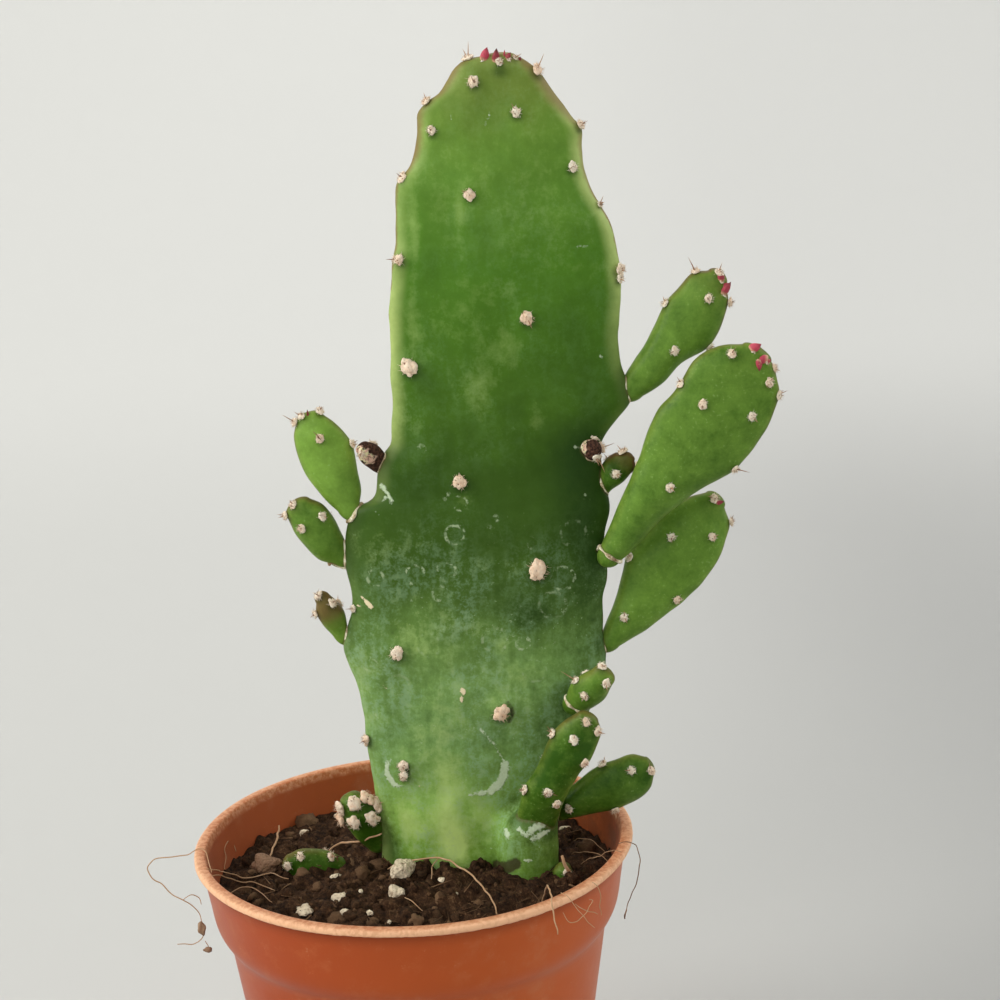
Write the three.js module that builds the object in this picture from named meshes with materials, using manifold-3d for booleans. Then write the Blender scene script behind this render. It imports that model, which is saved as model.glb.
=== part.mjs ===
// A prickly pear cutting in its plastic flower pot.
// Millimetres, +Z up. The origin is the centre of the pot's underside.
// +X is to the right and -Y towards a viewer who looks at the broad face of the pads.

import * as THREE from "three";
import { mergeVertices } from "three/addons/utils/BufferGeometryUtils.js";
import Module from "manifold-3d";

const wasm = await Module();
wasm.setup();

// Driving dimensions of the pot
const RIM_RADIUS = 42.5;
const POT_HEIGHT = 75;
const LIP_WIDTH = 2.2;
const LIP_HEIGHT = 1.4;
const WALL = 1.2;
const FLOOR = 1.5;
const BASE_RADIUS = 28.5;
const POT_DRAFT = 0.15;
const DRAIN_HOLES = 6;
const DRAIN_RADIUS = 2.5;
const DRAIN_CIRCLE = 19;
const POT_SEGMENTS = 40;

// The pot's outside below its lip: inset from the rim's radius, and depth below the lip
const COLLAR_OUTLINE = [
  [5.7, 16.6],
  [5.1, 15.1],
  [3.9, 13.4],
  [3.1, 11.4],
  [2.4, 7.1],
  [1.3, 0],
];

// Driving dimensions of the soil
const SOIL_LEVEL = 66;
const MOUND_HEIGHT = 1.8;
const MOUND_SPREAD = 22;
const CLUMP_HEIGHT = 0.7;
const CRUMB_COUNT = 12;
const GRAIN_COUNT = 6;
const GRAIN_MARGIN = 4.5;
const SOIL_RADIUS = 38.4;
const SOIL_WALL_GAP = 0.45;
const SOIL_RING_STEP = 4;
const STEM_CENTRE = [10, 4];

// Place and radius of the large perlite grains on the soil
const LARGE_GRAINS = [
  [-2.6, -2.8, 2.4],
  [-14.2, -11, 1.4],
  [-3.5, -15, 1.5],
];

// Clearance that neighbouring pieces keep
const GAP = 0.3;

// Areoles, spines and young leaves
const TUFT_RADIUS = 1.25;
const SPINE_RADIUS = 0.25;
const SPINE_LENGTH = 2.2;
const LONG_SPINE_LENGTH = 3.6;
const LONG_SPINE_SHARE = 0.2;
const LEAF_RADIUS = 0.6;
const LEAF_LENGTH = 3.2;
const ROOT_DEPTH = 0.8;
const LEAF_ROOT_DEPTH = 1.8;
const LEAF_SPREAD = 0.5;

// The main pad stands upright in this plane, from its buried foot to its tip
const MAIN_PLANE_Y = 6.5;
const MAIN_FOOT_Z = 47;
const MAIN_TIP_Z = 222;

// Height, left edge and right edge of the main pad
const MAIN_EDGES = [
  [49, 4, 17],
  [54, -2, 22],
  [60, -5.9, 27],
  [66, -7, 27.9],
  [72, -7.1, 28.2],
  [79, -7.5, 29.5],
  [88, -8.3, 32.6],
  [97, -9, 35.4],
  [104, -10.1, 38.2],
  [107.5, -11.2, 38.9],
  [111, -12.1, 38.2],
  [115.5, -11.2, 38.2],
  [118.8, -9.9, 38.4],
  [122.5, -10.2, 39.2],
  [126.5, -11, 39.4],
  [131, -10.9, 39.2],
  [136, -10.2, 40.2],
  [139, -8.6, 40.2],
  [140.2, -5.3, 40],
  [143, -3.9, 39.3],
  [147.5, -3.4, 38.8],
  [149.4, -2, 39],
  [151, -0.8, 40],
  [153.4, -0.7, 41.8],
  [157, -0.5, 44.6],
  [160.5, -0.3, 44.3],
  [164.5, -0.2, 43],
  [170, 0, 42.6],
  [176, 0.4, 43.3],
  [183.5, 1.3, 43.2],
  [187.3, 2.1, 42.8],
  [191.5, 2.1, 41.6],
  [194.4, 2.3, 39.9],
  [196.9, 2.6, 38.7],
  [199, 3.1, 37.8],
  [201.2, 4.8, 37.3],
  [204.4, 6.2, 37.1],
  [207.8, 6.9, 37.1],
  [210, 7.1, 35.6],
  [212.2, 7.4, 34],
  [213.6, 9, 33],
  [215.4, 11.3, 31.8],
  [217.6, 13.1, 30.1],
  [219.4, 14.4, 28.3],
  [220.6, 16.6, 26.9],
  [221.4, 19.6, 25.3],
];

// Height and thickness of the main pad
const MAIN_THICKNESS = [
  [47, 6],
  [66, 13],
  [80, 12],
  [100, 11],
  [130, 10],
  [170, 9],
  [200, 8],
  [215, 6.5],
  [222, 3],
];

// Height and sideways place of the areoles on the front and at the edges of the main pad
const MAIN_FRONT_AREOLES = [
  [216.9, 17.8],
  [211.4, 25.1],
  [208.8, 9.9],
  [201.3, 34.9],
  [197.3, 16.1],
  [185.8, 3],
  [174.5, 25.7],
  [166.1, 3.8],
  [144.3, 12],
  [126.7, 25.8],
  [111.3, -1.5],
  [98.8, 17.8],
  [87.4, -1.4],
];
const MAIN_EDGE_AREOLES = [
  [220.7, 15.6],
  [213.7, 8.4],
  [200.2, 3.5],
  [185.7, 0.5],
  [119.3, -10],
  [92.7, -9.4],
  [218.4, 28.9],
  [208.5, 37],
  [194.1, 41.8],
  [181.7, 43.5],
];
const MAIN_TIP_LEAVES = [
  [219.8, 19.6],
  [218.8, 21.9],
  [219.6, 24.2],
];

// The short lobe of the main pad's right foot, which an older pad left behind
const LOBE = {
  origin: [22, 0.5, 0],
  edges: [
    [56, -4, 4],
    [63, -5.6, 5.8],
    [70, -6.1, 6],
    [75, -5.4, 6.2],
    [78.2, -2.8, 6.6],
    [80.4, 0.6, 6.8],
  ],
  thickness: [
    [54, 8],
    [66, 12.4],
    [74, 11],
    [78, 8.5],
    [81.4, 5],
  ],
  start: 54,
  length: 81.4,
};

// The side pads and buds. Each leaves its joint at a lean to the right and a pitch to the viewer.
// edges: distance along the pad, then its breadth to the left and to the right of its axis.
// areoles, leaves: distance along the pad and place across it, to the right.
const SIDE_PADS = [
  {
    name: "pad_right_1",
    joint: [44.3, 7.3, 160.5],
    lean: 40,
    pitch: 0,
    length: 27,
    thick: 6.5,
    edges: [
      [0, 1.3, 3.6], [4, 1.8, 5], [9, 2.4, 5.5], [14, 3.5, 7.1], [19, 3.8, 7], [23.5, 3.2, 5],
      [25.8, 1.2, 3],
    ],
    areoles: [
      [21.8, 1.4], [10.5, 2.4], [16.3, -3.6], [24, -3.1], [15, 7.1], [23.4, 5.1], [26.4, 0.2],
    ],
    leaves: [[26.2, 1.4], [25.3, 2.8]],
  },
  {
    name: "pad_right_2",
    joint: [39.9, 4, 128.6],
    lean: 36,
    pitch: 6,
    length: 48.5,
    thick: 7.5,
    edges: [
      [0, 2.3, 2.6], [5, 3.4, 3.5], [12, 5, 4.2], [19, 6.5, 6.3], [25, 8.2, 9.1], [29, 8.7, 10],
      [34.5, 7.9, 10.2], [39.5, 8.6, 9.3], [44, 6.7, 6.8], [47.2, 3.2, 2.9],
    ],
    areoles: [
      [34.4, -3.1], [37.5, 5.5], [18.2, 0.9], [44.7, -4], [27.4, 9], [42.9, 7.5], [34.8, -8.1],
      [44.2, 4.6],
    ],
    leaves: [[48, -1.2], [46.8, 1.3], [45.4, 2.6]],
  },
  {
    name: "pad_right_3",
    joint: [38.9, 8, 111],
    lean: 41,
    pitch: -10,
    length: 35.2,
    thick: 6.5,
    edges: [
      [0, 0.9, 3.5], [5, 2.3, 5.3], [10, 4.2, 6.7], [15, 6.2, 8.2], [21.5, 6.4, 8.7], [27, 5.8, 8],
      [31.5, 3.9, 6], [34, 1.8, 3],
    ],
    areoles: [
      [22.7, -2.4], [27.7, 3.8], [14, 5.9], [5.1, 0.1], [14.9, -5.8], [33.9, -0.1], [32.1, 5.7],
    ],
    leaves: [[34.1, 1]],
  },
  {
    name: "pad_right_4",
    joint: [31.9, 1, 100],
    lean: 38,
    pitch: 25,
    length: 11.3,
    thick: 4.6,
    edges: [[0, 1.9, 2.9], [3, 2.6, 3.6], [6, 2.3, 3.7], [9.4, 1.7, 2.8]],
    areoles: [[5.1, -0.1], [5.1, -2.5], [10.9, -1.5], [9.7, 1.2]],
    leaves: [],
  },
  {
    name: "pad_right_5",
    joint: [25, -2, 77.6],
    lean: 24,
    pitch: 8,
    length: 24.5,
    thick: 6,
    edges: [[0, 5, 3], [5, 5.6, 2.2], [10, 5.2, 2.4], [16, 5.2, 3.5], [21, 4, 3.3], [23.6, 2.2, 1.7]],
    areoles: [
      [18.1, -4.8], [19.5, -1.4], [15.7, 2], [7.7, -1.9], [5.3, -5.3], [5.6, 0.5], [23.4, -0.5],
      [22.2, 1.9],
    ],
    leaves: [],
  },
  {
    name: "pad_right_6",
    joint: [29, 3, 77.6],
    lean: 63,
    pitch: 5,
    length: 19.9,
    thick: 5.6,
    edges: [[0, 2, 2.6], [4, 3, 3.5], [9, 4.2, 4.8], [14, 4.1, 5.2], [17.5, 3.5, 4], [19.3, 1.8, 1.8]],
    areoles: [[16.2, -1.5], [9.5, 4.1], [1.9, -0.2], [11.6, -4.5], [19.3, 0.4]],
    leaves: [],
  },
  {
    name: "bud_right_edge",
    joint: [39.8, 6.5, 141],
    lean: 38,
    pitch: 15,
    length: 8.4,
    thick: 3.8,
    edges: [[0, 2.2, 1.2], [3.2, 3.3, 1.9], [6.3, 3.1, 1.8], [7.6, 1.6, 0.8]],
    areoles: [[4.2, -0.7], [6.9, 1.5], [7.6, -2.2]],
    leaves: [],
  },
  {
    name: "bud_right_foot",
    joint: [27.2, -2.2, 61.5],
    lean: 12,
    pitch: 15,
    length: 8,
    thick: 4,
    edges: [[0, 1.6, 1.6], [3, 2, 2], [6, 2, 2], [7.4, 1.2, 1.2]],
    areoles: [[7, 0.6]],
    leaves: [],
  },
  {
    name: "pad_left_1",
    joint: [-9.6, 6.8, 139.1],
    lean: -21,
    pitch: -5,
    length: 19.7,
    thick: 6,
    edges: [
      [0, 2.3, 2.4], [2, 3.1, 3.6], [5, 4, 4.4], [9.5, 5, 5.2], [13.5, 4.9, 4.9], [16.3, 4.1, 3.9],
      [18.2, 2.6, 2.6],
    ],
    areoles: [[14.2, 0.8], [18.6, -2.3], [18.7, 2.2], [10.8, 5.2]],
    leaves: [[19.2, 0]],
  },
  {
    name: "pad_left_2",
    joint: [-10.9, 7.4, 130.6],
    lean: -40,
    pitch: 8,
    length: 13.6,
    thick: 5.6,
    edges: [[0, 4, 0.8], [2, 4.9, 1.7], [6.3, 4.8, 3], [9.5, 4.4, 3.2], [12, 3.1, 2.2]],
    areoles: [[9.5, -2.1], [8.5, 1.9], [13.3, -0.5], [12.6, -2.8]],
    leaves: [],
  },
  {
    name: "pad_left_3",
    joint: [-12, 7, 114.6],
    lean: -26,
    pitch: 8,
    length: 9.2,
    thick: 4,
    edges: [[0, 2.4, 0.9], [3, 2.8, 1.8], [5.5, 2.5, 1.9], [7.6, 1.6, 1.4]],
    areoles: [[6.6, 1], [5.8, -2.3], [8.7, -0.3]],
    leaves: [],
  },
  {
    name: "bud_left_foot",
    joint: [-7, 7.5, 71],
    lean: -34,
    pitch: 8,
    length: 12.2,
    thick: 5.8,
    edges: [[0, 3.6, 2.6], [4, 4, 3.6], [8, 3, 4], [10.6, 1.6, 2.5]],
    areoles: [[11.4, -0.5], [10.1, 1.5], [8.2, 2.9], [8.5, -2.6], [6.4, 0], [9, -0.6]],
    leaves: [],
  },
  {
    name: "pad_in_soil",
    joint: [-12.5, 7.2, 62.8],
    lean: -66,
    pitch: 16,
    length: 15.6,
    thick: 5,
    edges: [[0, 2, 2], [4, 3.2, 3.2], [9, 3.9, 3.9], [13, 3, 3], [15, 1.5, 1.5]],
    areoles: [[15, 0], [13.2, 2.2], [11.6, -0.4], [7.4, 3.4]],
    leaves: [],
  },
];

// The two dry buds, each on its edge of the main pad
const DRY_BUDS = [
  {
    name: "dry_bud_left",
    joint: [-3.5, 6, 147.7],
    lean: -40,
    pitch: 25,
    length: 5.4,
    thick: 2.6,
    edges: [[0, 1.9, 2], [2.5, 1.8, 2], [4.6, 1.1, 1.4]],
    areoles: [[4.4, -0.4]],
    leaves: [],
  },
  {
    name: "dry_bud_right",
    joint: [36.2, 4.8, 148.2],
    lean: 48,
    pitch: 50,
    length: 3.4,
    thick: 2.8,
    edges: [[0, 1.8, 1.8], [1.6, 1.7, 1.7], [2.7, 1.1, 1.1]],
    areoles: [[2.8, 0.6]],
    leaves: [],
  },
];

// How far a side pad's round foot reaches beyond its joint, before the main pad's clearance is
// cut from it
const SIDE_PAD_SINK = 3;

// First height, last height and step of the areole rows on the main pad's back
const MAIN_BACK_ROWS = [92, 212, 17];

// Longest span between two sections of a pad, and the last section's share of the closing tip
const LONGEST_SPAN = 7;
const TIP_SECTION = 0.6;

// Materials
const potPlastic = new THREE.MeshStandardMaterial({ color: 0xb5552c, roughness: 0.5, metalness: 0 });
const pottingMix = new THREE.MeshStandardMaterial({ color: 0x3a271d, roughness: 0.95, metalness: 0 });
const padSkin = new THREE.MeshStandardMaterial({ color: 0x3c6b2c, roughness: 0.5, metalness: 0 });
const youngSkin = new THREE.MeshStandardMaterial({ color: 0x4a8428, roughness: 0.45, metalness: 0 });
const drySkin = new THREE.MeshStandardMaterial({ color: 0x6b4630, roughness: 0.9, metalness: 0 });

// A repeatable run of numbers from 0 to 1
function seededRandom(seed) {
  let state = seed;
  return () => {
    state = (state * 1664525 + 1013904223) % 4294967296;
    return state / 4294967296;
  };
}

// A closed geometry as a solid, with its doubled corners merged
function toSolid(geometry) {
  const bare = geometry.clone();
  bare.deleteAttribute("normal");
  bare.deleteAttribute("uv");
  const merged = mergeVertices(bare, 1e-4);
  const mesh = new wasm.Mesh({
    numProp: 3,
    vertProperties: merged.attributes.position.array,
    triVerts: new Uint32Array(merged.index.array),
  });
  return new wasm.Manifold(mesh);
}

function join(solids) {
  return solids.reduce((whole, solid) => whole.add(solid));
}

// A solid as a named mesh of the part
function namedMesh(name, solid, material) {
  const { vertProperties, triVerts } = solid.getMesh();
  const geometry = new THREE.BufferGeometry();
  geometry.setAttribute("position", new THREE.BufferAttribute(vertProperties, 3));
  geometry.setIndex(new THREE.BufferAttribute(triVerts, 1));
  geometry.computeVertexNormals();
  const mesh = new THREE.Mesh(geometry, material);
  mesh.name = name;
  return mesh;
}

// The value of one column of a table at a place between its rows, on a smooth curve
function smoothValue(table, column, at) {
  const last = table.length - 1;
  if (at <= table[0][0]) return table[0][column];
  if (at >= table[last][0]) return table[last][column];
  const row = table.findIndex((entry) => entry[0] > at) - 1;
  const slope = (i) => {
    const before = table[Math.max(i - 1, 0)];
    const after = table[Math.min(i + 1, last)];
    return (after[column] - before[column]) / (after[0] - before[0]);
  };
  const step = table[row + 1][0] - table[row][0];
  const t = (at - table[row][0]) / step;
  const rise = t * t * (3 - 2 * t);
  const start = slope(row) * step * t * (1 - t) * (1 - t);
  const end = slope(row + 1) * step * t * t * (t - 1);
  return table[row][column] * (1 - rise) + table[row + 1][column] * rise + start + end;
}

// A pad's own directions: across it, out of its face towards the viewer, and along it
function padDirections(leanDegrees, pitchDegrees) {
  const lean = THREE.MathUtils.degToRad(leanDegrees);
  const pitch = THREE.MathUtils.degToRad(pitchDegrees);
  const along = new THREE.Vector3(
    Math.sin(lean) * Math.cos(pitch),
    -Math.sin(pitch),
    Math.cos(lean) * Math.cos(pitch),
  );
  const level = new THREE.Vector3(Math.cos(lean), 0, -Math.sin(lean));
  const facing = new THREE.Vector3().crossVectors(level, along).normalize();
  const across = new THREE.Vector3().crossVectors(along, facing);
  return { across, facing, along };
}

// How far a pad's section has closed, from 1 down to 0, on its round tip beyond the last row
// of its edges and on the round foot below a side pad's joint
function roundClosing(pad, s) {
  const last = pad.edges[pad.edges.length - 1][0];
  const beyond = THREE.MathUtils.clamp((s - last) / (pad.length - last), 0, 1);
  const below = pad.hasRoundFoot ? THREE.MathUtils.clamp(s / pad.start, 0, 1) : 0;
  return Math.sqrt((1 - beyond * beyond) * (1 - below * below));
}

// Middle, half breadth and half thickness of a pad's section
function padSection(pad, s) {
  const left = smoothValue(pad.edges, 1, s);
  const right = smoothValue(pad.edges, 2, s);
  const closing = roundClosing(pad, s);
  return {
    middle: (left + right) / 2,
    breadth: ((right - left) / 2) * closing,
    depth: (smoothValue(pad.thickness, 1, s) / 2) * closing,
  };
}

function sectionPoint(pad, section, s, angle) {
  return pad.origin
    .clone()
    .addScaledVector(pad.along, s)
    .addScaledVector(pad.across, section.middle + section.breadth * Math.cos(angle))
    .addScaledVector(pad.facing, section.depth * Math.sin(angle));
}

// The outward direction of a pad's skin
function skinNormal(pad, s, angle) {
  const step = 0.1;
  const section = padSection(pad, s);
  const ahead = sectionPoint(pad, padSection(pad, s + step), s + step, angle);
  const behind = sectionPoint(pad, padSection(pad, s - step), s - step, angle);
  const around = new THREE.Vector3()
    .addScaledVector(pad.across, -section.breadth * Math.sin(angle))
    .addScaledVector(pad.facing, section.depth * Math.cos(angle));
  return ahead.sub(behind).cross(around).normalize();
}

// Where a pad's sections lie: at its start, at each row of its edges, halfway along each
// long span between them, and on the closing of its tip
function sectionPlaces(pad) {
  const first = pad.hasRoundFoot ? TIP_SECTION * pad.start : pad.start;
  const stations = [first, ...pad.edges.map(([s]) => s)];
  const last = stations[stations.length - 1];
  const places = stations.flatMap((s, i) => {
    const next = stations[i + 1] ?? s;
    return next - s > LONGEST_SPAN ? [s, (s + next) / 2] : [s];
  });
  return [...places, last + TIP_SECTION * (pad.length - last)];
}

// A pad's body: a ball whose rows become the pad's sections, from its foot to its round tip
function padBody(pad, grow = 0) {
  const places = sectionPlaces(pad);
  const rows = places.length + 1;
  const geometry = new THREE.SphereGeometry(1, pad.sides, rows);
  const { position, uv } = geometry.attributes;
  for (let i = 0; i < position.count; i += 1) {
    const row = Math.round((1 - uv.getY(i)) * rows);
    const angle = 2 * Math.PI * uv.getX(i);
    const isPole = row === 0 || row === rows;
    const s = [pad.start, ...places, pad.length][row];
    const section = padSection(pad, s);
    if (isPole) Object.assign(section, { breadth: 0, depth: 0 });
    const point = sectionPoint(pad, section, s, angle);
    if (!isPole) point.addScaledVector(skinNormal(pad, s, angle), grow);
    if (row < 2) point.addScaledVector(pad.along, -grow);
    if (row === rows) point.addScaledVector(pad.along, grow);
    position.setXYZ(i, point.x, point.y, point.z);
  }
  return toSolid(geometry);
}

// A place on a pad's skin and its outward direction; face is 1 for the front and -1 for the back
function skinPlace(pad, s, across, face) {
  const reach = Math.min(s, pad.length - 0.4);
  const section = padSection(pad, reach);
  const cosine = THREE.MathUtils.clamp((across - section.middle) / section.breadth, -0.98, 0.98);
  const angle = face * Math.acos(cosine);
  return { point: sectionPoint(pad, section, reach, angle), normal: skinNormal(pad, reach, angle) };
}

// A geometry that points along +Y, turned to a direction and set at a point
function planted(geometry, point, direction) {
  const turn = new THREE.Quaternion().setFromUnitVectors(new THREE.Vector3(0, 1, 0), direction);
  geometry.applyQuaternion(turn);
  geometry.translate(point.x, point.y, point.z);
  return toSolid(geometry);
}

// A pointed needle that stands out of a point by its length, on a root below it
function needle(point, direction, { radius, length, root, sides }) {
  const geometry = new THREE.ConeGeometry(radius, length + root, sides);
  geometry.translate(0, (length - root) / 2, 0);
  return planted(geometry, point, direction);
}

function leaning(direction, random, amount) {
  return direction
    .clone()
    .add(new THREE.Vector3(random() - 0.5, random() - 0.5, random() - 0.2).multiplyScalar(amount))
    .normalize();
}

// An areole: a tuft of wool and the spine that stands out of it
function areole({ point, normal }, random) {
  const tuft = new THREE.OctahedronGeometry(TUFT_RADIUS * (0.9 + 0.3 * random()), 0);
  tuft.rotateY(2 * Math.PI * random());
  tuft.scale(1, 0.8, 1);
  const isLong = random() < LONG_SPINE_SHARE;
  const length = isLong ? LONG_SPINE_LENGTH : SPINE_LENGTH * (0.7 + 0.4 * random());
  const spine = { radius: SPINE_RADIUS, length, root: ROOT_DEPTH, sides: 3 };
  return [planted(tuft, point, normal), needle(point, leaning(normal, random, 0.9), spine)];
}

// Areoles in staggered rows on the back of a pad
function backPlaces(pad, first, last, step) {
  const places = [];
  for (let row = 0; first + row * step <= last; row += 1) {
    const s = first + row * step;
    const { middle, breadth } = padSection(pad, s);
    const offsets = row % 2 ? [0] : [-0.5, 0.5];
    for (const offset of offsets) places.push([s, middle + offset * breadth]);
  }
  return places;
}

// A pad with everything that grows on it. What would cross an obstacle is left out.
function grownPad(pad, random, obstacle) {
  const places = [
    ...pad.areoles.map(([s, across]) => skinPlace(pad, s, across, 1)),
    ...pad.backAreoles.map(([s, across]) => skinPlace(pad, s, across, -1)),
  ];
  const grown = places.flatMap((place) => areole(place, random));
  for (const [s, across] of pad.leaves) {
    const { point, normal } = skinPlace(pad, s, across, 1);
    const direction = normal.multiplyScalar(LEAF_SPREAD).add(pad.along).normalize();
    const leaf = { radius: LEAF_RADIUS, length: LEAF_LENGTH, root: LEAF_ROOT_DEPTH, sides: 4 };
    grown.push(needle(point, leaning(direction, random, 0.3), leaf));
  }
  const clear = grown.filter((piece) => piece.intersect(obstacle).isEmpty());
  return join([padBody(pad), ...clear]);
}

// The main pad as a pad of its own kind, upright in its plane
function mainPad() {
  const pad = {
    ...padDirections(0, 0),
    origin: new THREE.Vector3(0, MAIN_PLANE_Y, 0),
    edges: MAIN_EDGES,
    thickness: MAIN_THICKNESS,
    start: MAIN_FOOT_Z,
    length: MAIN_TIP_Z,
    sides: 16,
    areoles: [...MAIN_FRONT_AREOLES, ...MAIN_EDGE_AREOLES],
    leaves: MAIN_TIP_LEAVES,
  };
  pad.backAreoles = backPlaces(pad, ...MAIN_BACK_ROWS);
  return pad;
}

function footLobe() {
  return {
    ...padDirections(0, 0),
    ...LOBE,
    origin: new THREE.Vector3(...LOBE.origin),
    sides: 12,
  };
}

// A side pad from its entry in the list, with its joint end lengthened into the main pad
function sidePad(entry) {
  const { length, thick, edges, lean, pitch } = entry;
  const pad = {
    ...entry,
    ...padDirections(lean, pitch),
    origin: new THREE.Vector3(...entry.joint),
    edges: edges.map(([s, left, right]) => [s, -left, right]),
    thickness: [
      [0, 0.62 * thick],
      [0.3 * length, thick],
      [0.75 * length, 0.9 * thick],
      [length, 0.4 * thick],
    ],
    start: -SIDE_PAD_SINK,
    hasRoundFoot: true,
    sides: length > 20 ? 12 : 10,
  };
  pad.backAreoles = backPlaces(pad, 0.45 * length, 0.9 * length, Math.max(0.32 * length, 8));
  return pad;
}

// The pot's collar, from its foot up to the lip
function collar() {
  const lipFoot = POT_HEIGHT - LIP_HEIGHT;
  return COLLAR_OUTLINE.map(([inset, depth]) => [RIM_RADIUS - inset, lipFoot - depth]);
}

// The pot's outer outline, from the base up to the top of the lip
function potOutline() {
  return [
    [BASE_RADIUS, 0],
    ...collar(),
    [RIM_RADIUS - 0.4, POT_HEIGHT - LIP_HEIGHT],
    [RIM_RADIUS, POT_HEIGHT - LIP_HEIGHT / 2],
    [RIM_RADIUS - 0.3, POT_HEIGHT],
  ];
}

// The pot's inner outline, from the floor up to the inner edge of the lip
function potInside() {
  return [
    [BASE_RADIUS - WALL + POT_DRAFT * FLOOR, FLOOR],
    ...collar().map(([radius, z]) => [radius - WALL, z]),
    [RIM_RADIUS - LIP_WIDTH, POT_HEIGHT],
  ];
}

// Turns a closed outline of radius and height round the pot's axis
function turned(outline, segments) {
  const points = outline.map(([radius, z]) => new THREE.Vector2(radius, z));
  const geometry = new THREE.LatheGeometry(points, segments);
  geometry.rotateX(Math.PI / 2);
  return geometry;
}

function pot() {
  const inside = potInside().reverse();
  const shell = toSolid(turned([[0, 0], ...potOutline(), ...inside, [0, FLOOR]], POT_SEGMENTS));
  const holes = [];
  for (let i = 0; i < DRAIN_HOLES; i += 1) {
    const angle = (2 * Math.PI * (i + 0.5)) / DRAIN_HOLES;
    const hole = new THREE.CylinderGeometry(DRAIN_RADIUS, DRAIN_RADIUS, 4 * FLOOR, 12);
    hole.rotateX(Math.PI / 2);
    hole.translate(DRAIN_CIRCLE * Math.cos(angle), DRAIN_CIRCLE * Math.sin(angle), 0);
    holes.push(toSolid(hole));
  }
  return shell.subtract(join(holes));
}

// The soil's surface: level at the wall, mounded round the stem, and lumpy
function soilHeight(x, y) {
  const fromStem = Math.hypot(x - STEM_CENTRE[0], y - STEM_CENTRE[1]);
  const fromWall = THREE.MathUtils.clamp((SOIL_RADIUS - Math.hypot(x, y)) / 6, 0, 1);
  const mound = MOUND_HEIGHT * Math.exp(-((fromStem / MOUND_SPREAD) ** 2));
  const lumps = Math.sin(0.55 * x + 1.3) * Math.cos(0.63 * y) + 0.7 * Math.sin(1.1 * x - 0.9 * y);
  return SOIL_LEVEL + mound + CLUMP_HEIGHT * lumps * fromWall;
}

// Crumbs and pale grains, sunk by half into the soil's surface: the large ones where they lie,
// then the scattered ones
function soilGrains(random) {
  const placed = [...LARGE_GRAINS];
  const scatter = (count, smallest, largest) => {
    for (let i = 0; i < count; i += 1) {
      const radius = (SOIL_RADIUS - GRAIN_MARGIN) * Math.sqrt(random());
      const angle = 2 * Math.PI * random();
      const size = smallest + (largest - smallest) * random();
      placed.push([radius * Math.cos(angle), radius * Math.sin(angle), size]);
    }
  };
  scatter(CRUMB_COUNT, 1.2, 2.6);
  scatter(GRAIN_COUNT, 0.8, 1.4);
  return placed.map(([x, y, size]) => {
    const grain = new THREE.IcosahedronGeometry(size, 0);
    grain.rotateX(6 * random());
    grain.rotateZ(6 * random());
    grain.scale(1, 0.8 + 0.3 * random(), 0.8);
    grain.translate(x, y, soilHeight(x, y) + 0.1 * size);
    return toSolid(grain);
  });
}

// The largest body of a solid, without the scraps that a cut leaves
function largestBody(solid) {
  return solid.decompose().reduce((best, body) => (body.volume() > best.volume() ? body : best));
}

function soil(hollows) {
  const wall = potInside().filter(([, z]) => z < SOIL_LEVEL - 2);
  const sides = wall.map(([radius, z]) => [radius - SOIL_WALL_GAP, z]);
  sides[0][1] += GAP;
  const top = [];
  for (let radius = SOIL_RADIUS; radius > 2; radius -= SOIL_RING_STEP) top.push([radius, SOIL_LEVEL]);
  const geometry = turned([[0, FLOOR + GAP], ...sides, ...top, [0, SOIL_LEVEL]], POT_SEGMENTS);
  const { position } = geometry.attributes;
  for (let i = 0; i < position.count; i += 1) {
    const isTop = position.getZ(i) > SOIL_LEVEL - 0.01;
    if (isTop) position.setZ(i, soilHeight(position.getX(i), position.getY(i)));
  }
  const ground = toSolid(geometry);
  const filled = join([ground, ...soilGrains(seededRandom(5))]);
  return largestBody(hollows.reduce((left, hollow) => left.subtract(hollow), filled));
}

function buildPart() {
  const main = mainPad();
  const lobe = footLobe();
  const sidePads = [...SIDE_PADS, ...DRY_BUDS].map(sidePad);
  const mainClearance = padBody(main, GAP).add(padBody(lobe, GAP));
  const clearances = sidePads.map((pad) => padBody(pad, GAP));
  const ground = soil([mainClearance, ...clearances]);
  const mainSolid = grownPad(main, seededRandom(11), join([ground, ...clearances])).add(padBody(lobe));

  const group = new THREE.Group();
  group.add(namedMesh("pot", pot(), potPlastic));
  group.add(namedMesh("soil", ground, pottingMix));
  group.add(namedMesh("pad_main", mainSolid, padSkin));
  const made = [ground, mainSolid];
  sidePads.forEach((pad, index) => {
    const others = clearances.filter((clearance, other) => other !== index);
    const obstacle = join([mainClearance, ...others, ...made]);
    const solid = grownPad(pad, seededRandom(20 + index), obstacle).subtract(mainClearance);
    made.push(solid);
    group.add(namedMesh(pad.name, solid, index < SIDE_PADS.length ? youngSkin : drySkin));
  });
  return group;
}

export default buildPart();
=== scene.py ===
"""The looks of a prickly pear cutting in its plastic flower pot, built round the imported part.
Sizes are in millimetres until a mesh is made. Blender's objects are in metres.
+X is to the right, -Y towards a viewer who looks at the broad face of the pads, and +Z up."""

import math

import bmesh
import bpy
import numpy as np
from mathutils import Matrix, Vector


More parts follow.
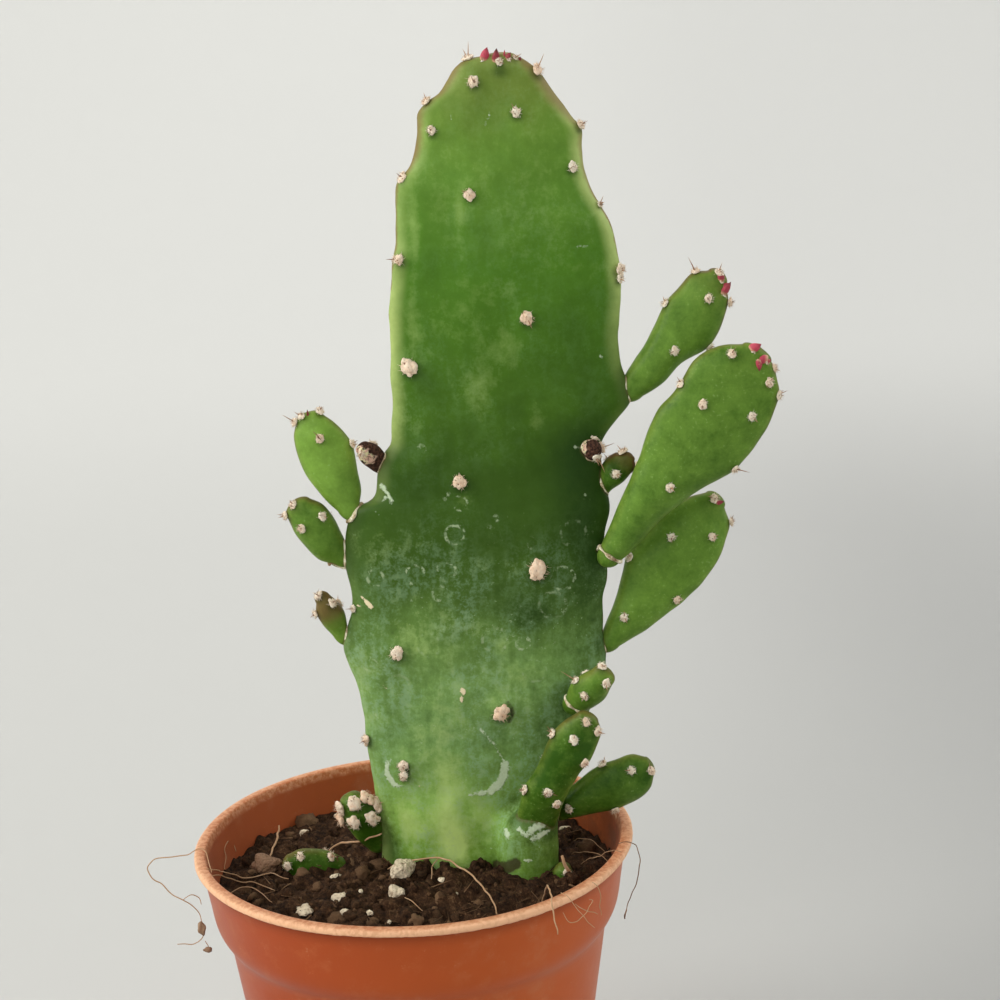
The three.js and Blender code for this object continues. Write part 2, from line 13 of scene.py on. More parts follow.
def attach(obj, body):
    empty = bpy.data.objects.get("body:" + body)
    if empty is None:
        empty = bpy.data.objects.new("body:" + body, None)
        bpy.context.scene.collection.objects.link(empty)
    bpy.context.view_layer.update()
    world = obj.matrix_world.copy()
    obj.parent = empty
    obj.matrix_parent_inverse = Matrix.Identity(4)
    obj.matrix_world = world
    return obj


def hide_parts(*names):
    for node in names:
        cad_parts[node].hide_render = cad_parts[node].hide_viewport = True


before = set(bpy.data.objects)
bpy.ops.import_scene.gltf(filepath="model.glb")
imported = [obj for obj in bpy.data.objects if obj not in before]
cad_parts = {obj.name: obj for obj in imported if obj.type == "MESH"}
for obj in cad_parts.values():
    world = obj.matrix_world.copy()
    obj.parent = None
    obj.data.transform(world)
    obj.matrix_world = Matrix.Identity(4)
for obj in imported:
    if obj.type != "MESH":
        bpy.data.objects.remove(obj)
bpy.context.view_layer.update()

MM = 0.001

# Camera, solved from the pot's rim
CAMERA_PLACE = (19.35, -328.43, 215.12)
CAMERA_PITCH = 12.76
CAMERA_ROLL = 2.38
CAMERA_LENS = 64.8
SENSOR_WIDTH = 36.0

# Driving dimensions of the pot
RIM_RADIUS = 42.5
POT_HEIGHT = 75
LIP_WIDTH = 2.2
LIP_HEIGHT = 1.4
LIP_FOOT = POT_HEIGHT - LIP_HEIGHT
WALL = 1.2
FLOOR = 1.5
BASE_RADIUS = 28.5
POT_DRAFT = 0.15
DRAIN_HOLES = 6
DRAIN_RADIUS = 2.5
DRAIN_CIRCLE = 19

# How finely the pot is drawn, and how ragged its lip and how uneven its wall are
POT_SEGMENTS = 360
BODY_ROWS = 26
COLLAR_ROWS = 30
INNER_ROWS = 24
LIP_RAGGED = 0.16
LIP_RAGGED_LOW = 0.18
POT_UNEVEN = 0.12

# Pale smears on the pot's outside: place, how much each axis counts, and reach
SMEARS = [((-28.2, -31.3, 70.6), (1.4, 1.4, 0.75), 1.5), ((19, -37.5, 67.6), (1, 1, 1), 0.9)]

# The pot's outside below its lip: inset from the rim's radius, and depth below the lip
COLLAR_OUTLINE = [
    (5.7, 16.6),
    (5.1, 15.1),
    (3.9, 13.4),
    (3.1, 11.4),
    (2.4, 7.1),
    (1.3, 0),
]

# The same outside as heights and radii
COLLAR = [(LIP_FOOT - depth, RIM_RADIUS - inset) for inset, depth in COLLAR_OUTLINE]

# Driving dimensions of the soil
SOIL_LEVEL = 66
MOUND_HEIGHT = 1.8
MOUND_SPREAD = 22
CLUMP_HEIGHT = 0.7
SOIL_RADIUS = 38.4
STEM_CENTRE = (10, 4)

# How finely the soil is drawn, its innermost ring, and how clear of the pot's wall it lies
SOIL_SEGMENTS = 300
SOIL_RINGS = 96
SOIL_INNER_RING = 0.6
SOIL_WALL_GAP = 0.05

# Areoles, spines and young leaves
TUFT_RADIUS = 1.2
SPINE_RADIUS = 0.13
SPINE_LENGTH = 2.2
LONG_SPINE_LENGTH = 3.6
LONG_SPINE_SHARE = 0.2
SECOND_SPINE_SHARE = 0.35
BRISTLE_LENGTH = 0.8
BRISTLE_RADIUS = 0.06
WOOL_LENGTH = 0.38
WOOL_RADIUS = 0.045
TUFT_HAIRS = 46
LEAF_FOOT_HAIRS = 16
LEAF_FOOT_TUFT = 0.42
LEAF_RINGS = 11
LEAF_SIDES = 10

# Finishes of what grows on a pad, in the order of its materials
OF_WOOL, OF_BRISTLE, OF_LEAF = range(3)

# How close to a pad's tip and to its edges areoles and leaves may stand
TIP_MARGIN = 0.4
EDGE_SHARE = 0.98

# How finely the skins are drawn: points round a pad, and the step along it. The points are
# crowded on the broad faces.
MAIN_SKIN_GRID = (224, 0.6)
LOBE_SKIN_GRID = (120, 0.5)
SIDE_SKIN_GRID = (96, 0.45)
FACE_CROWDING = 0.18

# How far a pad's skin swells in and out
SIDE_SWELL = 0.12
MAIN_SWELL = 0.2
LOBE_SWELL = 0.25

# The main pad stands upright in this plane, from its buried foot to its tip
MAIN_PLANE_Y = 6.5
MAIN_FOOT_Z = 47
MAIN_TIP_Z = 222

# Its skin's colours run from this height to the tip. Its powder is thick low down, thins out
# over a reach below its top, and leaves a little above it.
MAIN_COLOURS_Z = 62
POWDER_TOP_Z = 143
POWDER_FADE = 32
POWDER_LEAST = 0.12

# Height, left edge and right edge of the main pad
MAIN_EDGES = [
    (49, 4, 17), (54, -2, 22), (60, -5.9, 27), (66, -7, 27.9), (72, -7.1, 28.2), (79, -7.5, 29.5),
    (88, -8.3, 32.6), (97, -9, 35.4), (104, -10.1, 38.2), (107.5, -11.2, 38.9), (111, -12.1, 38.2),
    (115.5, -11.2, 38.2), (118.8, -9.9, 38.4), (122.5, -10.2, 39.2), (126.5, -11, 39.4),
    (131, -10.9, 39.2), (136, -10.2, 40.2), (139, -8.6, 40.2), (140.2, -5.3, 40),
    (143, -3.9, 39.3), (147.5, -3.4, 38.8), (149.4, -2, 39), (151, -0.8, 40), (153.4, -0.7, 41.8),
    (157, -0.5, 44.6), (160.5, -0.3, 44.3), (164.5, -0.2, 43), (170, 0, 42.6), (176, 0.4, 43.3),
    (183.5, 1.3, 43.2), (187.3, 2.1, 42.8), (191.5, 2.1, 41.6), (194.4, 2.3, 39.9),
    (196.9, 2.6, 38.7), (199, 3.1, 37.8), (201.2, 4.8, 37.3), (204.4, 6.2, 37.1),
    (207.8, 6.9, 37.1), (210, 7.1, 35.6), (212.2, 7.4, 34), (213.6, 9, 33), (215.4, 11.3, 31.8),
    (217.6, 13.1, 30.1), (219.4, 14.4, 28.3), (220.6, 16.6, 26.9), (221.4, 19.6, 25.3),
]

# Height and thickness of the main pad
MAIN_THICKNESS = [
    (47, 6), (66, 13), (80, 12), (100, 11), (130, 10), (170, 9), (200, 8), (215, 6.5), (222, 3),
]

# Height and sideways place of the areoles on the front and at the edges of the main pad,
# and how large their tufts are
MAIN_FRONT_AREOLES = [
    (216.9, 17.8, 0.95), (211.4, 25.1, 0.8), (208.8, 9.9, 0.8), (201.3, 34.9, 0.85),
    (197.3, 16.1, 0.95), (185.8, 3, 0.95), (174.5, 25.7, 1.1), (166.1, 3.8, 1.45),
    (144.3, 12, 1.25), (126.7, 25.8, 1.65), (111.3, -1.5, 1.2), (98.8, 17.8, 1.5),
    (88.3, -1.5, 0.95), (86.2, -1.4, 0.9),
]
MAIN_EDGE_AREOLES = [
    (220.7, 15.6, 0.9), (213.7, 8.4, 0.8), (200.2, 3.5, 0.9), (185.7, 0.5, 0.6),
    (119.3, -10, 0.6), (92.7, -9.4, 1.0), (218.4, 28.9, 1.05), (208.5, 37, 0.8),
    (194.1, 41.8, 0.45), (182.3, 43.5, 1.0), (180.6, 43.2, 0.75), (220.3, 22.4, 0.62),
    (220.9, 25.3, 0.4),
]

# Small leaves of the main pad's tip: height and sideways place of the foot, reach up and
# sideways, bend up and sideways, radius, and colour from dark red to pink
MAIN_TIP_LEAVES = [
    (221, 19.7, 2.3, 1.5, -0.1, -0.3, 0.8, 0.65), (220.6, 21.8, 2.6, 0.6, 0, -0.2, 0.68, 0.15),
    (221.3, 23.4, 1.6, 0.1, 0, 0, 0.2, 0.8), (221.1, 23.9, 1.2, 0.7, 0, 0.2, 0.55, 0.35),
    (220.6, 26.1, 0.9, 0.4, 0, 0, 0.36, 0.0),
]

# First height, last height and step of the areole rows on the main pad's back
MAIN_BACK_ROWS = (92, 212, 17)

# The short lobe of the main pad's right foot, which an older pad left behind
LOBE_ORIGIN = (22, 0.5, 0)
LOBE_EDGES = [
    (56, -4, 4), (63, -5.6, 5.8), (70, -6.1, 6), (75, -5.4, 6.2), (78.2, -2.8, 6.6),
    (80.4, 0.6, 6.8),
]
LOBE_THICKNESS = [(54, 8), (66, 12.4), (74, 11), (78, 8.5), (81.4, 5)]
LOBE_FOOT = 54
LOBE_TOP = 81.4
LOBE_FILLET = 3.5

# Thickness of a side pad, as shares of its length and of its full thickness
SIDE_THICKNESS = [(0, 0.62), (0.3, 1), (0.75, 0.9), (1, 0.4)]

# First place, last place and step of the areole rows on a side pad's back, as shares of its
# length, and the least step
SIDE_BACK_ROWS = (0.45, 0.9, 0.32)
LEAST_BACK_STEP = 8

# The side pads and buds. Each leaves its joint at a lean to the right and a pitch to the viewer.
# edges: distance along the pad, then its breadth to the left and to the right of its axis.
# areoles: distance along the pad and place across it, to the right.
# leaves: the same two for the foot, then reach and bend, each along and across, radius and colour.
# tone: how pale the skin is. blush: how far red-brown runs down from the tip.
SIDE_PADS = [
    dict(
        name="pad_right_1", joint=(44.3, 7.3, 160.5), lean=40, pitch=0, length=27, thick=6.5,
        edges=[(0, 1.3, 3.6), (4, 1.8, 5), (9, 2.4, 5.5), (14, 3.5, 7.1), (19, 3.8, 7),
               (23.5, 3.2, 5), (25.8, 1.2, 3)],
        areoles=[(21.8, 1.4), (10.5, 2.4), (16.3, -3.6), (24, -3.1), (15, 7.1), (23.4, 5.1),
                 (26.4, 0.2)],
        leaves=[(26, 1.2, 1.5, -0.9, 0, -0.4, 0.75, 0.3), (24.4, 3.3, 2.6, -1.2, 0, 0.3, 0.85, 0.35),
                (25.4, 2.6, 1.4, 0.4, 0, 0, 0.5, 0.6)],
        tone=0.45, blush=0.3,
    ),
    dict(
        name="pad_right_2", joint=(39.9, 4, 128.6), lean=36, pitch=6, length=48.5, thick=7.5,
        edges=[(0, 2.3, 2.6), (5, 3.4, 3.5), (12, 5, 4.2), (19, 6.5, 6.3), (25, 8.2, 9.1),
               (29, 8.7, 10), (34.5, 7.9, 10.2), (39.5, 8.6, 9.3), (44, 6.7, 6.8),
               (47.2, 3.2, 2.9)],
        areoles=[(34.4, -3.1), (37.5, 5.5), (18.2, 0.9), (44.7, -4), (27.4, 9), (42.9, 7.5),
                 (34.8, -8.1), (44.2, 4.6), (46.4, 3.9)],
        leaves=[(47.6, -1.4, 2, 0.5, 0, 0.5, 0.9, 0.75), (47.4, 1.8, -1.6, -3, -0.6, 1.8, 0.85, 0.6),
                (46.4, 1, -1.8, 0.2, 0, 0.8, 0.8, 0.45), (47, 2.2, 1.2, 0.6, 0, 0, 0.5, 0.8)],
        tone=0.36, blush=0.15,
    ),
    dict(
        name="pad_right_3", joint=(38.9, 8, 111), lean=41, pitch=-10, length=35.2, thick=6.5,
        edges=[(0, 0.9, 3.5), (5, 2.3, 5.3), (10, 4.2, 6.7), (15, 6.2, 8.2), (21.5, 6.4, 8.7),
               (27, 5.8, 8), (31.5, 3.9, 6), (34, 1.8, 3)],
        areoles=[(22.7, -2.4), (27.7, 3.8), (14, 5.9), (5.1, 0.1), (14.9, -5.8), (33.9, -0.1),
                 (32.1, 5.7)],
        leaves=[(33.6, 0.9, 1.4, 0.8, 0, 0.3, 0.5, 0.3)], tone=0.42, blush=0.2,
    ),
    dict(
        name="pad_right_4", joint=(31.9, 1, 100), lean=38, pitch=25, length=11.3, thick=4.6,
        edges=[(0, 1.9, 2.9), (3, 2.6, 3.6), (6, 2.3, 3.7), (9.4, 1.7, 2.8)],
        areoles=[(5.1, -0.1), (5.1, -2.5), (10.9, -1.5), (9.7, 1.2)],
        leaves=[], tone=0.3, blush=0.2,
    ),
    dict(
        name="pad_right_5", joint=(25, -2, 77.6), lean=24, pitch=8, length=24.5, thick=6,
        edges=[(0, 5, 3), (5, 5.6, 2.2), (10, 5.2, 2.4), (16, 5.2, 3.5), (21, 4, 3.3),
               (23.6, 2.2, 1.7)],
        areoles=[(18.1, -4.8), (19.5, -1.4), (15.7, 2), (7.7, -1.9), (5.3, -5.3), (5.6, 0.5),
                 (23.4, -0.5), (22.2, 1.9)],
        leaves=[], tone=0.08, blush=0.2,
    ),
    dict(
        name="pad_right_6", joint=(29, 3, 77.6), lean=63, pitch=5, length=19.9, thick=5.6,
        edges=[(0, 2, 2.6), (4, 3, 3.5), (9, 4.2, 4.8), (14, 4.1, 5.2), (17.5, 3.5, 4),
               (19.3, 1.8, 1.8)],
        areoles=[(16.2, -1.5), (9.5, 4.1), (1.9, -0.2), (11.6, -4.5), (19.3, 0.4)],
        leaves=[], tone=0.15, blush=0.1,
    ),
    dict(
        name="bud_right_edge", joint=(39.8, 6.5, 141), lean=38, pitch=15, length=8.4, thick=3.8,
        edges=[(0, 2.2, 1.2), (3.2, 3.3, 1.9), (6.3, 3.1, 1.8), (7.6, 1.6, 0.8)],
        areoles=[(4.2, -0.7), (6.9, 1.5), (7.6, -2.2)],
        leaves=[], tone=0.05, blush=0.5,
    ),
    dict(
        name="bud_right_foot", joint=(27.2, -2.2, 61.5), lean=12, pitch=15, length=8, thick=4,
        edges=[(0, 1.6, 1.6), (3, 2, 2), (6, 2, 2), (7.4, 1.2, 1.2)],
        areoles=[(7, 0.6)],
        leaves=[], tone=0.05, blush=0.1,
    ),
    dict(
        name="pad_left_1", joint=(-9.6, 6.8, 139.1), lean=-21, pitch=-5, length=19.7, thick=6,
        edges=[(0, 2.3, 2.4), (2, 3.1, 3.6), (5, 4, 4.4), (9.5, 5, 5.2), (13.5, 4.9, 4.9),
               (16.3, 4.1, 3.9), (18.2, 2.6, 2.6)],
        areoles=[(14.2, 0.8), (18.6, -2.3), (18.7, 2.2), (10.8, 5.2), (19.1, -0.9)],
        leaves=[(19.1, 0.2, 1.4, 0.4, 0, 0.1, 0.3, 0.0)], tone=0.7, blush=0.2,
    ),
    dict(
        name="pad_left_2", joint=(-10.9, 7.4, 130.6), lean=-40, pitch=8, length=13.6, thick=5.6,
        edges=[(0, 4, 0.8), (2, 4.9, 1.7), (6.3, 4.8, 3), (9.5, 4.4, 3.2), (12, 3.1, 2.2)],
        areoles=[(9.5, -2.1), (8.5, 1.9), (13.3, -0.5), (12.6, -2.8)],
        leaves=[], tone=0.42, blush=0.25,
    ),
    dict(
        name="pad_left_3", joint=(-12, 7, 114.6), lean=-26, pitch=8, length=9.2, thick=4,
        edges=[(0, 2.4, 0.9), (3, 2.8, 1.8), (5.5, 2.5, 1.9), (7.6, 1.6, 1.4)],
        areoles=[(6.6, 1), (5.8, -2.3), (8.7, -0.3)],
        leaves=[], tone=0.5, blush=0.85,
    ),
    dict(
        name="bud_left_foot", joint=(-7, 7.5, 71), lean=-34, pitch=8, length=12.2, thick=5.8,
        edges=[(0, 3.6, 2.6), (4, 4, 3.6), (8, 3, 4), (10.6, 1.6, 2.5)],
        areoles=[(10.6, -1.3), (10.3, 1.1), (9.2, 3), (8.4, -2.7), (7.6, -0.9), (7.4, 3.6), (6.2, 1.9)],
        leaves=[], tone=0.1, blush=0.1,
    ),
    dict(
        name="pad_in_soil", joint=(-12.5, 7.2, 62.8), lean=-66, pitch=16, length=15.6, thick=5,
        edges=[(0, 2, 2), (4, 3.2, 3.2), (9, 3.9, 3.9), (13, 3, 3), (15, 1.5, 1.5)],
        areoles=[(15, 0), (13.2, 2.2), (11.6, -0.4), (7.4, 3.4)],
        leaves=[], tone=0.0, blush=0.2,
    ),
]

# The dry buds peel to cream at a place along them and across them, with its reach along and across
DRY_BUDS = [
    dict(
        name="dry_bud_left", joint=(-3.5, 6, 147.7), lean=-40, pitch=25, length=5.4, thick=2.6,
        edges=[(0, 1.9, 2), (2.5, 1.8, 2), (4.6, 1.1, 1.4)],
        areoles=[(4.4, -0.4)],
        leaves=[], peel=(0.72, -0.3, 0.5, 0.95),
    ),
    dict(
        name="dry_bud_right", joint=(36.2, 4.8, 148.2), lean=48, pitch=50, length=3.4, thick=2.8,
        edges=[(0, 1.8, 1.8), (1.6, 1.7, 1.7), (2.7, 1.1, 1.1)],
        areoles=[(1.9, 1.5), (2.3, 1)],
        leaves=[], peel=(0.45, -0.9, 0.24, 0.85),
    ),
]

# How far a side pad's joint end runs on into the main pad, how far out its joint is looked for
# in how many steps, the points round the joint, and how far its shade reaches
SIDE_PAD_SINK = 3
JOINT_REACH = 7
JOINT_STEPS = 111
JOINT_POINTS = 72
JOINT_SHADE = 6

# Pads whose joint has a corky rim, with the rim's thickness, and the sides of that rim
JOINT_RIMS = {
    "pad_right_1": 0.3, "pad_right_2": 0.34, "pad_right_3": 0.32, "pad_right_4": 0.34,
    "pad_right_6": 0.22, "bud_right_edge": 0.26, "pad_left_1": 0.42, "pad_left_2": 0.3,
    "pad_left_3": 0.42, "dry_bud_left": 0.3, "dry_bud_right": 0.5,
}
RIM_SIDES = 6

# Pads that grow from the lobe. Round their joints the lobe's skin gets cork colour and painted shade.
LOBE_PADS = ("pad_right_5", "pad_right_6")

# Sizes of the tufts on side pads: on the woolly crown, on the shortest buds and on all others
WOOLLY_CROWN = "bud_left_foot"
CROWN_TUFT_SCALE = 1.3
SHORT_BUD_LENGTH = 6
SHORT_BUD_TUFT_SCALE = 0.6
SIDE_TUFT_SCALE = 0.76

# Faint rings on the main pad's front: sideways place, height, radius and strength
RING_SCARS = [
    (18.1, 136.8, 0.7, 1.0), (17.4, 135.4, 0.5, 0.6), (10.6, 134, 1.8, 0.9), (5.1, 150.6, 0.6, 0.5),
    (8.6, 126.9, 1.8, 1.0), (2.6, 126.4, 1.9, 1.0), (7.2, 122.6, 1.4, 0.8), (3, 121, 1.3, 0.6),
    (30.7, 124.4, 2.2, 0.9), (28.6, 119.2, 2.6, 0.5), (17.3, 113.1, 2.4, 0.5),
    (22.6, 112.1, 1.3, 1.0), (-5, 125.8, 1.6, 0.7), (-6.9, 108.6, 1.5, 0.6),
    (11.8, 140, 1.3, 0.9), (9.6, 141.2, 0.7, 0.8), (35.4, 140, 0.4, 1.0), (-1.5, 104.6, 1.9, 0.4),
    (24.6, 106.5, 2.2, 0.4), (33, 133, 2.4, 0.35), (4.6, 112.6, 2.2, 0.35), (26, 131.6, 1.6, 0.4),
]

# Scars on the main pad's front: half width, then the sideways places and heights they run through
WHITE_SCARS = [
    (0.22, [(13.8, 95.3), (14.9, 93.9), (16.4, 91.9), (17.5, 89.8), (18.1, 88.3)]),
    (0.95, [(18.1, 87.7), (17.8, 85.6), (17, 83.9), (15.2, 82.6)]),
    (0.6, [(15.2, 82.6), (13.2, 82.2)]),
    (0.3, [(13.2, 82.2), (11.1, 82.1)]),
    (0.5, [(-2.9, 143.5), (-2.3, 142.6), (-1.7, 141.6), (-1.2, 140.4)]),
    (0.4, [(-1.9, 141.6), (-3, 140.4)]),
    (0.15, [(-4.3, 138.8), (-3.7, 138)]),
    (0.5, [(20.4, 76.4), (21.8, 75.4)]),
    (0.75, [(22.6, 76.4), (24.6, 77), (26.8, 78.4), (28.4, 80.4)]),
    (0.55, [(22.8, 74.6), (25.8, 75.6)]),
    (0.62, [(18, 75.4), (18.2, 74.8)]),
    (0.12, [(20.4, 211.5), (19.5, 209.4)]),
    (0.12, [(13.3, 211.5), (13.5, 210.4)]),
    (0.2, [(21.2, 70.5), (22.4, 70.6)]),
    (0.2, [(35.6, 187), (37.2, 186.9)]),
    (0.15, [(39.2, 166.5), (39.6, 166.2)]),
    (0.4, [(33.8, 149.6), (34.4, 149.2)]),
    (0.15, [(2.2, 85.6), (2.4, 85.3)]),
]
TAN_SCARS = [
    (0.22, [(-7.9, 121.9), (-7.4, 121.2), (-7, 121)]),
    (0.46, [(-6.9, 120.8), (-6.2, 120)]),
    (0.2, [(-8.8, 120.2), (-8.4, 119.9)]),
    (0.5, [(10.6, 103.4), (10.9, 102.9)]),
    (0.42, [(10.4, 101.8), (10.4, 101.3)]),
    (0.22, [(-4.6, 104.2), (-4.2, 103.8)]),
    (0.16, [(3.1, 88.5), (3.2, 88.2)]),
    (0.16, [(0.8, 84.2), (1.4, 83.9)]),
]
DARK_SCARS = [
    (1.1, [(15.8, 67.5), (17.8, 68.6), (19.6, 69.9)]),
    (0.42, [(-0.8, 88), (-0.7, 86.6)]),
    (0.35, [(19.3, 100.4), (20, 99.2), (20, 97.6), (19.3, 96.6)]),
    (0.1, [(-2.8, 107.8), (-2.7, 107.5)]),
    (0.1, [(-1.5, 107.8), (-1.4, 107.5)]),
]

# The white scaly ring round the damaged areole: sideways place, height, radius, half width
SCALY_RING = (-2.6, 86.9, 2.6, 0.6)

# Distances that stand for no scar, no ring and no edge nearby
NO_SCAR = -3.0
NO_RING = 4.0
NO_EDGE = 9.0

# Yellow edge colour and painted sheen along the main pad's left and right edges, and the width
# of their red-brown rims: height and amount, height and width
LEFT_YELLOW_AND_SHEEN = [
    (62, 0.4), (84, 0.1), (134, 0.08), (142, 0.3), (152, 0.6), (165, 1), (181, 1), (192, 0.4), (222, 0.1),
]
RIGHT_YELLOW_AND_SHEEN = [(62, 0), (150, 0.03), (160, 0.35), (178, 0.9), (188, 1.4), (204, 1.3), (222, 0.5)]
LEFT_RIM = [(62, 0.01), (180, 0.01), (186, 0.6), (200, 0.8), (206, 2.2), (216, 1.4), (222, 1)]
RIGHT_RIM = [(62, 0.01), (176, 0.01), (190, 0.5), (208, 1.4), (213, 3.6), (220, 2.8), (222, 1)]
RIGHT_SIDE_X = 30

# Paler and darker patches of the main pad's front: sideways place, height, reach sideways,
# reach up and down, amount. Some dark ones are painted shade: in the fillet beside the lobe,
# down the left of the foot, on the lobe and below the wool at the tip. The back has a share of them.
BACK_TONE = 0.6
FRONT_TONES_AND_SHADE = [
    (6.5, 78, 2.6, 7, 0.85), (8.4, 71.5, 2, 3, 1.4), (7, 86, 3, 4, 0.3), (-3, 77, 4, 5.5, 0.75),
    (4, 72, 9, 5, 0.25), (13, 77, 3, 4, 0.3), (2, 113, 5, 4, 0.2), (8, 104, 4, 9, 0.12),
    (5.6, 190, 1, 9, 0.3), (4.4, 176, 1, 8, 0.2), (22, 102, 4, 6, 0.2), (22, 86, 3, 4, 0.2),
    (17, 161, 2.5, 5, 0.2), (19, 76, 3, 8, -0.4),
    (22, 169, 2.5, 5, 0.15), (27, 155, 3, 4, 0.2), (32, 156, 3, 4, 0.2), (14.3, 194, 0.9, 2.6, 0.35),
    (12, 141, 2, 2, 0.15), (32, 128, 3, 4, 0.25), (2, 157, 3, 5, 0.1), (-9, 107, 2.5, 5, 0.2),
    (-9, 121, 4, 8, -0.25), (2, 122, 4, 4, -0.15), (2, 143, 9, 6, -0.3), (12, 150, 8, 6, -0.2),
    (36, 130, 7, 26, -0.85), (31, 86, 6, 14, -0.75), (25, 76, 5, 9, -0.5), (-5.9, 71, 3.2, 9, -1.5),
    (15, 70, 4, 4, -0.3), (33, 148, 5, 7, -0.5), (7, 162, 3, 4, -0.25), (23, 158, 3.5, 7, -0.2),
    (-3, 103, 2.5, 9, -0.2), (35, 168, 8, 10, -0.2), (16, 92, 3, 4, -0.25), (24, 117, 4.5, 4.5, -0.8),
    (18, 121, 6, 5, -0.3), (18, 134, 7, 7, -0.15), (6, 184, 6, 5, -0.2), (18, 189, 2.5, 4, -0.2),
    (17, 211, 7, 6, -0.12), (22.5, 218.6, 1.5, 1.1, -0.8),
]

# Seeds of what is drawn at random
MAIN_SEED = 11
SIDE_PAD_SEED = 20
CRUMB_SEED = 41
PERLITE_SEED = 61
FIBRE_SEED = 71
FIBRE_SWAY_SEED = 81
JOINT_RIM_SEED = 90


# Small sums on directions and tables

def unit(vectors):
    return vectors / np.linalg.norm(vectors, axis=-1, keepdims=True)


def square_to(directions):
    """Two directions for each direction, square to it and to each other"""
    upright = np.array([0.0, 0.0, 1.0])
    level = np.array([1.0, 0.0, 0.0])
    helper = np.where(np.abs(directions[:, 2:]) < 0.9, upright, level)
    first = unit(np.cross(directions, helper))
    return first, np.cross(directions, first)


def smooth_value(table, column, at):
    """The value of one column of a table at places between its rows, on a smooth curve"""
    place = np.array([row[0] for row in table], float)
    value = np.array([row[column] for row in table], float)
    last = len(table) - 1
    before = np.maximum(np.arange(last + 1) - 1, 0)
    after = np.minimum(np.arange(last + 1) + 1, last)
    slope = (value[after] - value[before]) / (place[after] - place[before])
    row = np.clip(np.searchsorted(place, at, side="right") - 1, 0, last - 1)
    step = place[row + 1] - place[row]
    t = np.clip((at - place[row]) / step, 0, 1)
    rise = t * t * (3 - 2 * t)
    start = slope[row] * step * t * (1 - t) ** 2
    end = slope[row + 1] * step * t * t * (t - 1)
    return value[row] * (1 - rise) + value[row + 1] * rise + start + end


def ripples(points, wavelength, seed, waves=14):
    """A smooth uneven height at each point, mostly between -1 and 1"""
    random = np.random.default_rng(seed)
    directions = unit(random.normal(size=(waves, 3)))
    lengths = wavelength * random.uniform(0.7, 1.5, waves)
    phases = random.uniform(0, 2 * math.pi, waves)
    turns = points @ (2 * math.pi * directions / lengths[:, None]).T + phases
    return np.sin(turns).sum(axis=1) / math.sqrt(waves)


def bump_at(distance, reach):
    return np.exp(-((distance / reach) ** 2))


def round_angles(count):
    """Angles evenly round a circle"""
    return np.arange(count) * 2 * math.pi / count


def spokes_between(first, second, count):
    """Directions round a circle that lies in the two directions given for each place"""
    angles = round_angles(count)[:, None]
    return first[:, None] * np.cos(angles) + second[:, None] * np.sin(angles)


# Faces and shapes

def ring_faces(rows, columns):
    """Quads between rows of points that each close on themselves"""
    row = np.arange(rows - 1)[:, None] * columns
    column = np.arange(columns)[None]
    beside = (column + 1) % columns
    corners = [row + column, row + columns + column, row + columns + beside, row + beside]
    return np.stack(corners, axis=-1).reshape(-1, 4)


def fan_faces(first, columns, pole, upper):
    """Triangles from a closed row of points to a pole"""
    column = np.arange(columns)
    beside = (column + 1) % columns
    ends = np.full(columns, pole)
    order = [first + column, ends, first + beside] if upper else [first + beside, ends, first + column]
    return np.stack(order, axis=-1)


def closed_faces(rows, columns, inward=False):
    """Faces of closed rows of points, with a pole before the first row and one after the last.
    The poles are the two points that follow the rows."""
    poles = rows * columns
    walls = ring_faces(rows, columns)
    return [
        walls[:, ::-1] if inward else walls,
        fan_faces(0, columns, poles, inward),
        fan_faces(poles - columns, columns, poles + 1, not inward),
    ]


def ball(subdivisions):
    """Points and triangles of a ball of radius 1"""
    form = bmesh.new()
    bmesh.ops.create_icosphere(form, subdivisions=subdivisions, radius=1)
    points = np.array([corner.co for corner in form.verts])
    faces = np.array([[corner.index for corner in face.verts] for face in form.faces])
    form.free()
    return points, faces


def copies(points, faces, frames, places):
    """One shape many times over, turned by each frame and set at each place"""
    turned = np.einsum("vk,nkj->nvj", points, frames) + places[:, None]
    first = np.arange(len(places))[:, None, None] * len(points)
    return turned.reshape(-1, 3), (faces[None] + first).reshape(-1, faces.shape[1])


def strands(roots, directions, lengths, radii, bends, sides=3, steps=2):
    """Tapering threads that leave their roots, bend, and end in a point"""
    count = len(roots)
    along = np.linspace(0, 1, steps + 1)[:-1]
    spokes = spokes_between(*square_to(directions), sides)
    reach = (directions * lengths[:, None])[:, None] * along[:, None]
    middles = roots[:, None] + reach + bends[:, None] * (along**2)[:, None]
    thickness = radii[:, None] * (1 - along) ** 0.6
    rings = middles[:, :, None] + spokes[:, None] * thickness[:, :, None, None]
    tips = roots + directions * lengths[:, None] + bends
    points = np.concatenate([rings.reshape(count, -1, 3), roots[:, None], tips[:, None]], axis=1)
    offsets = np.arange(count)[:, None, None] * (steps * sides + 2)
    faces = [(part[None] + offsets).reshape(-1, part.shape[1]) for part in closed_faces(steps, sides)]
    return points.reshape(-1, 3), faces


def smooth_path(points):
    """A curve through the points, with more points between them"""
    points = np.array(points, float)
    padded = np.concatenate([points[:1], points, points[-1:]])
    t = np.linspace(0, 1, PATH_STEPS, endpoint=False)[:, None]
    spans = []
    for a, b, c, d in zip(padded, padded[1:], padded[2:], padded[3:]):
        spans.append(
            0.5 * (2 * b + (c - a) * t + (2 * a - 5 * b + 4 * c - d) * t**2
                   + (3 * b - a - 3 * c + d) * t**3)
        )
    return np.concatenate([*spans, points[-1:]])


def tube(path, radii, sides):
    """A thread along a path, closed at both ends"""
    ahead = unit(np.gradient(path, axis=0))
    across = unit(np.cross(ahead, [0.31, 0.87, 0.38]))
    spokes = spokes_between(across, np.cross(ahead, across), sides)
    rings = path[:, None] + spokes * radii[:, None, None]
    points = np.concatenate([rings.reshape(-1, 3), path[:1], path[-1:]])
    return points, closed_faces(len(path), sides)


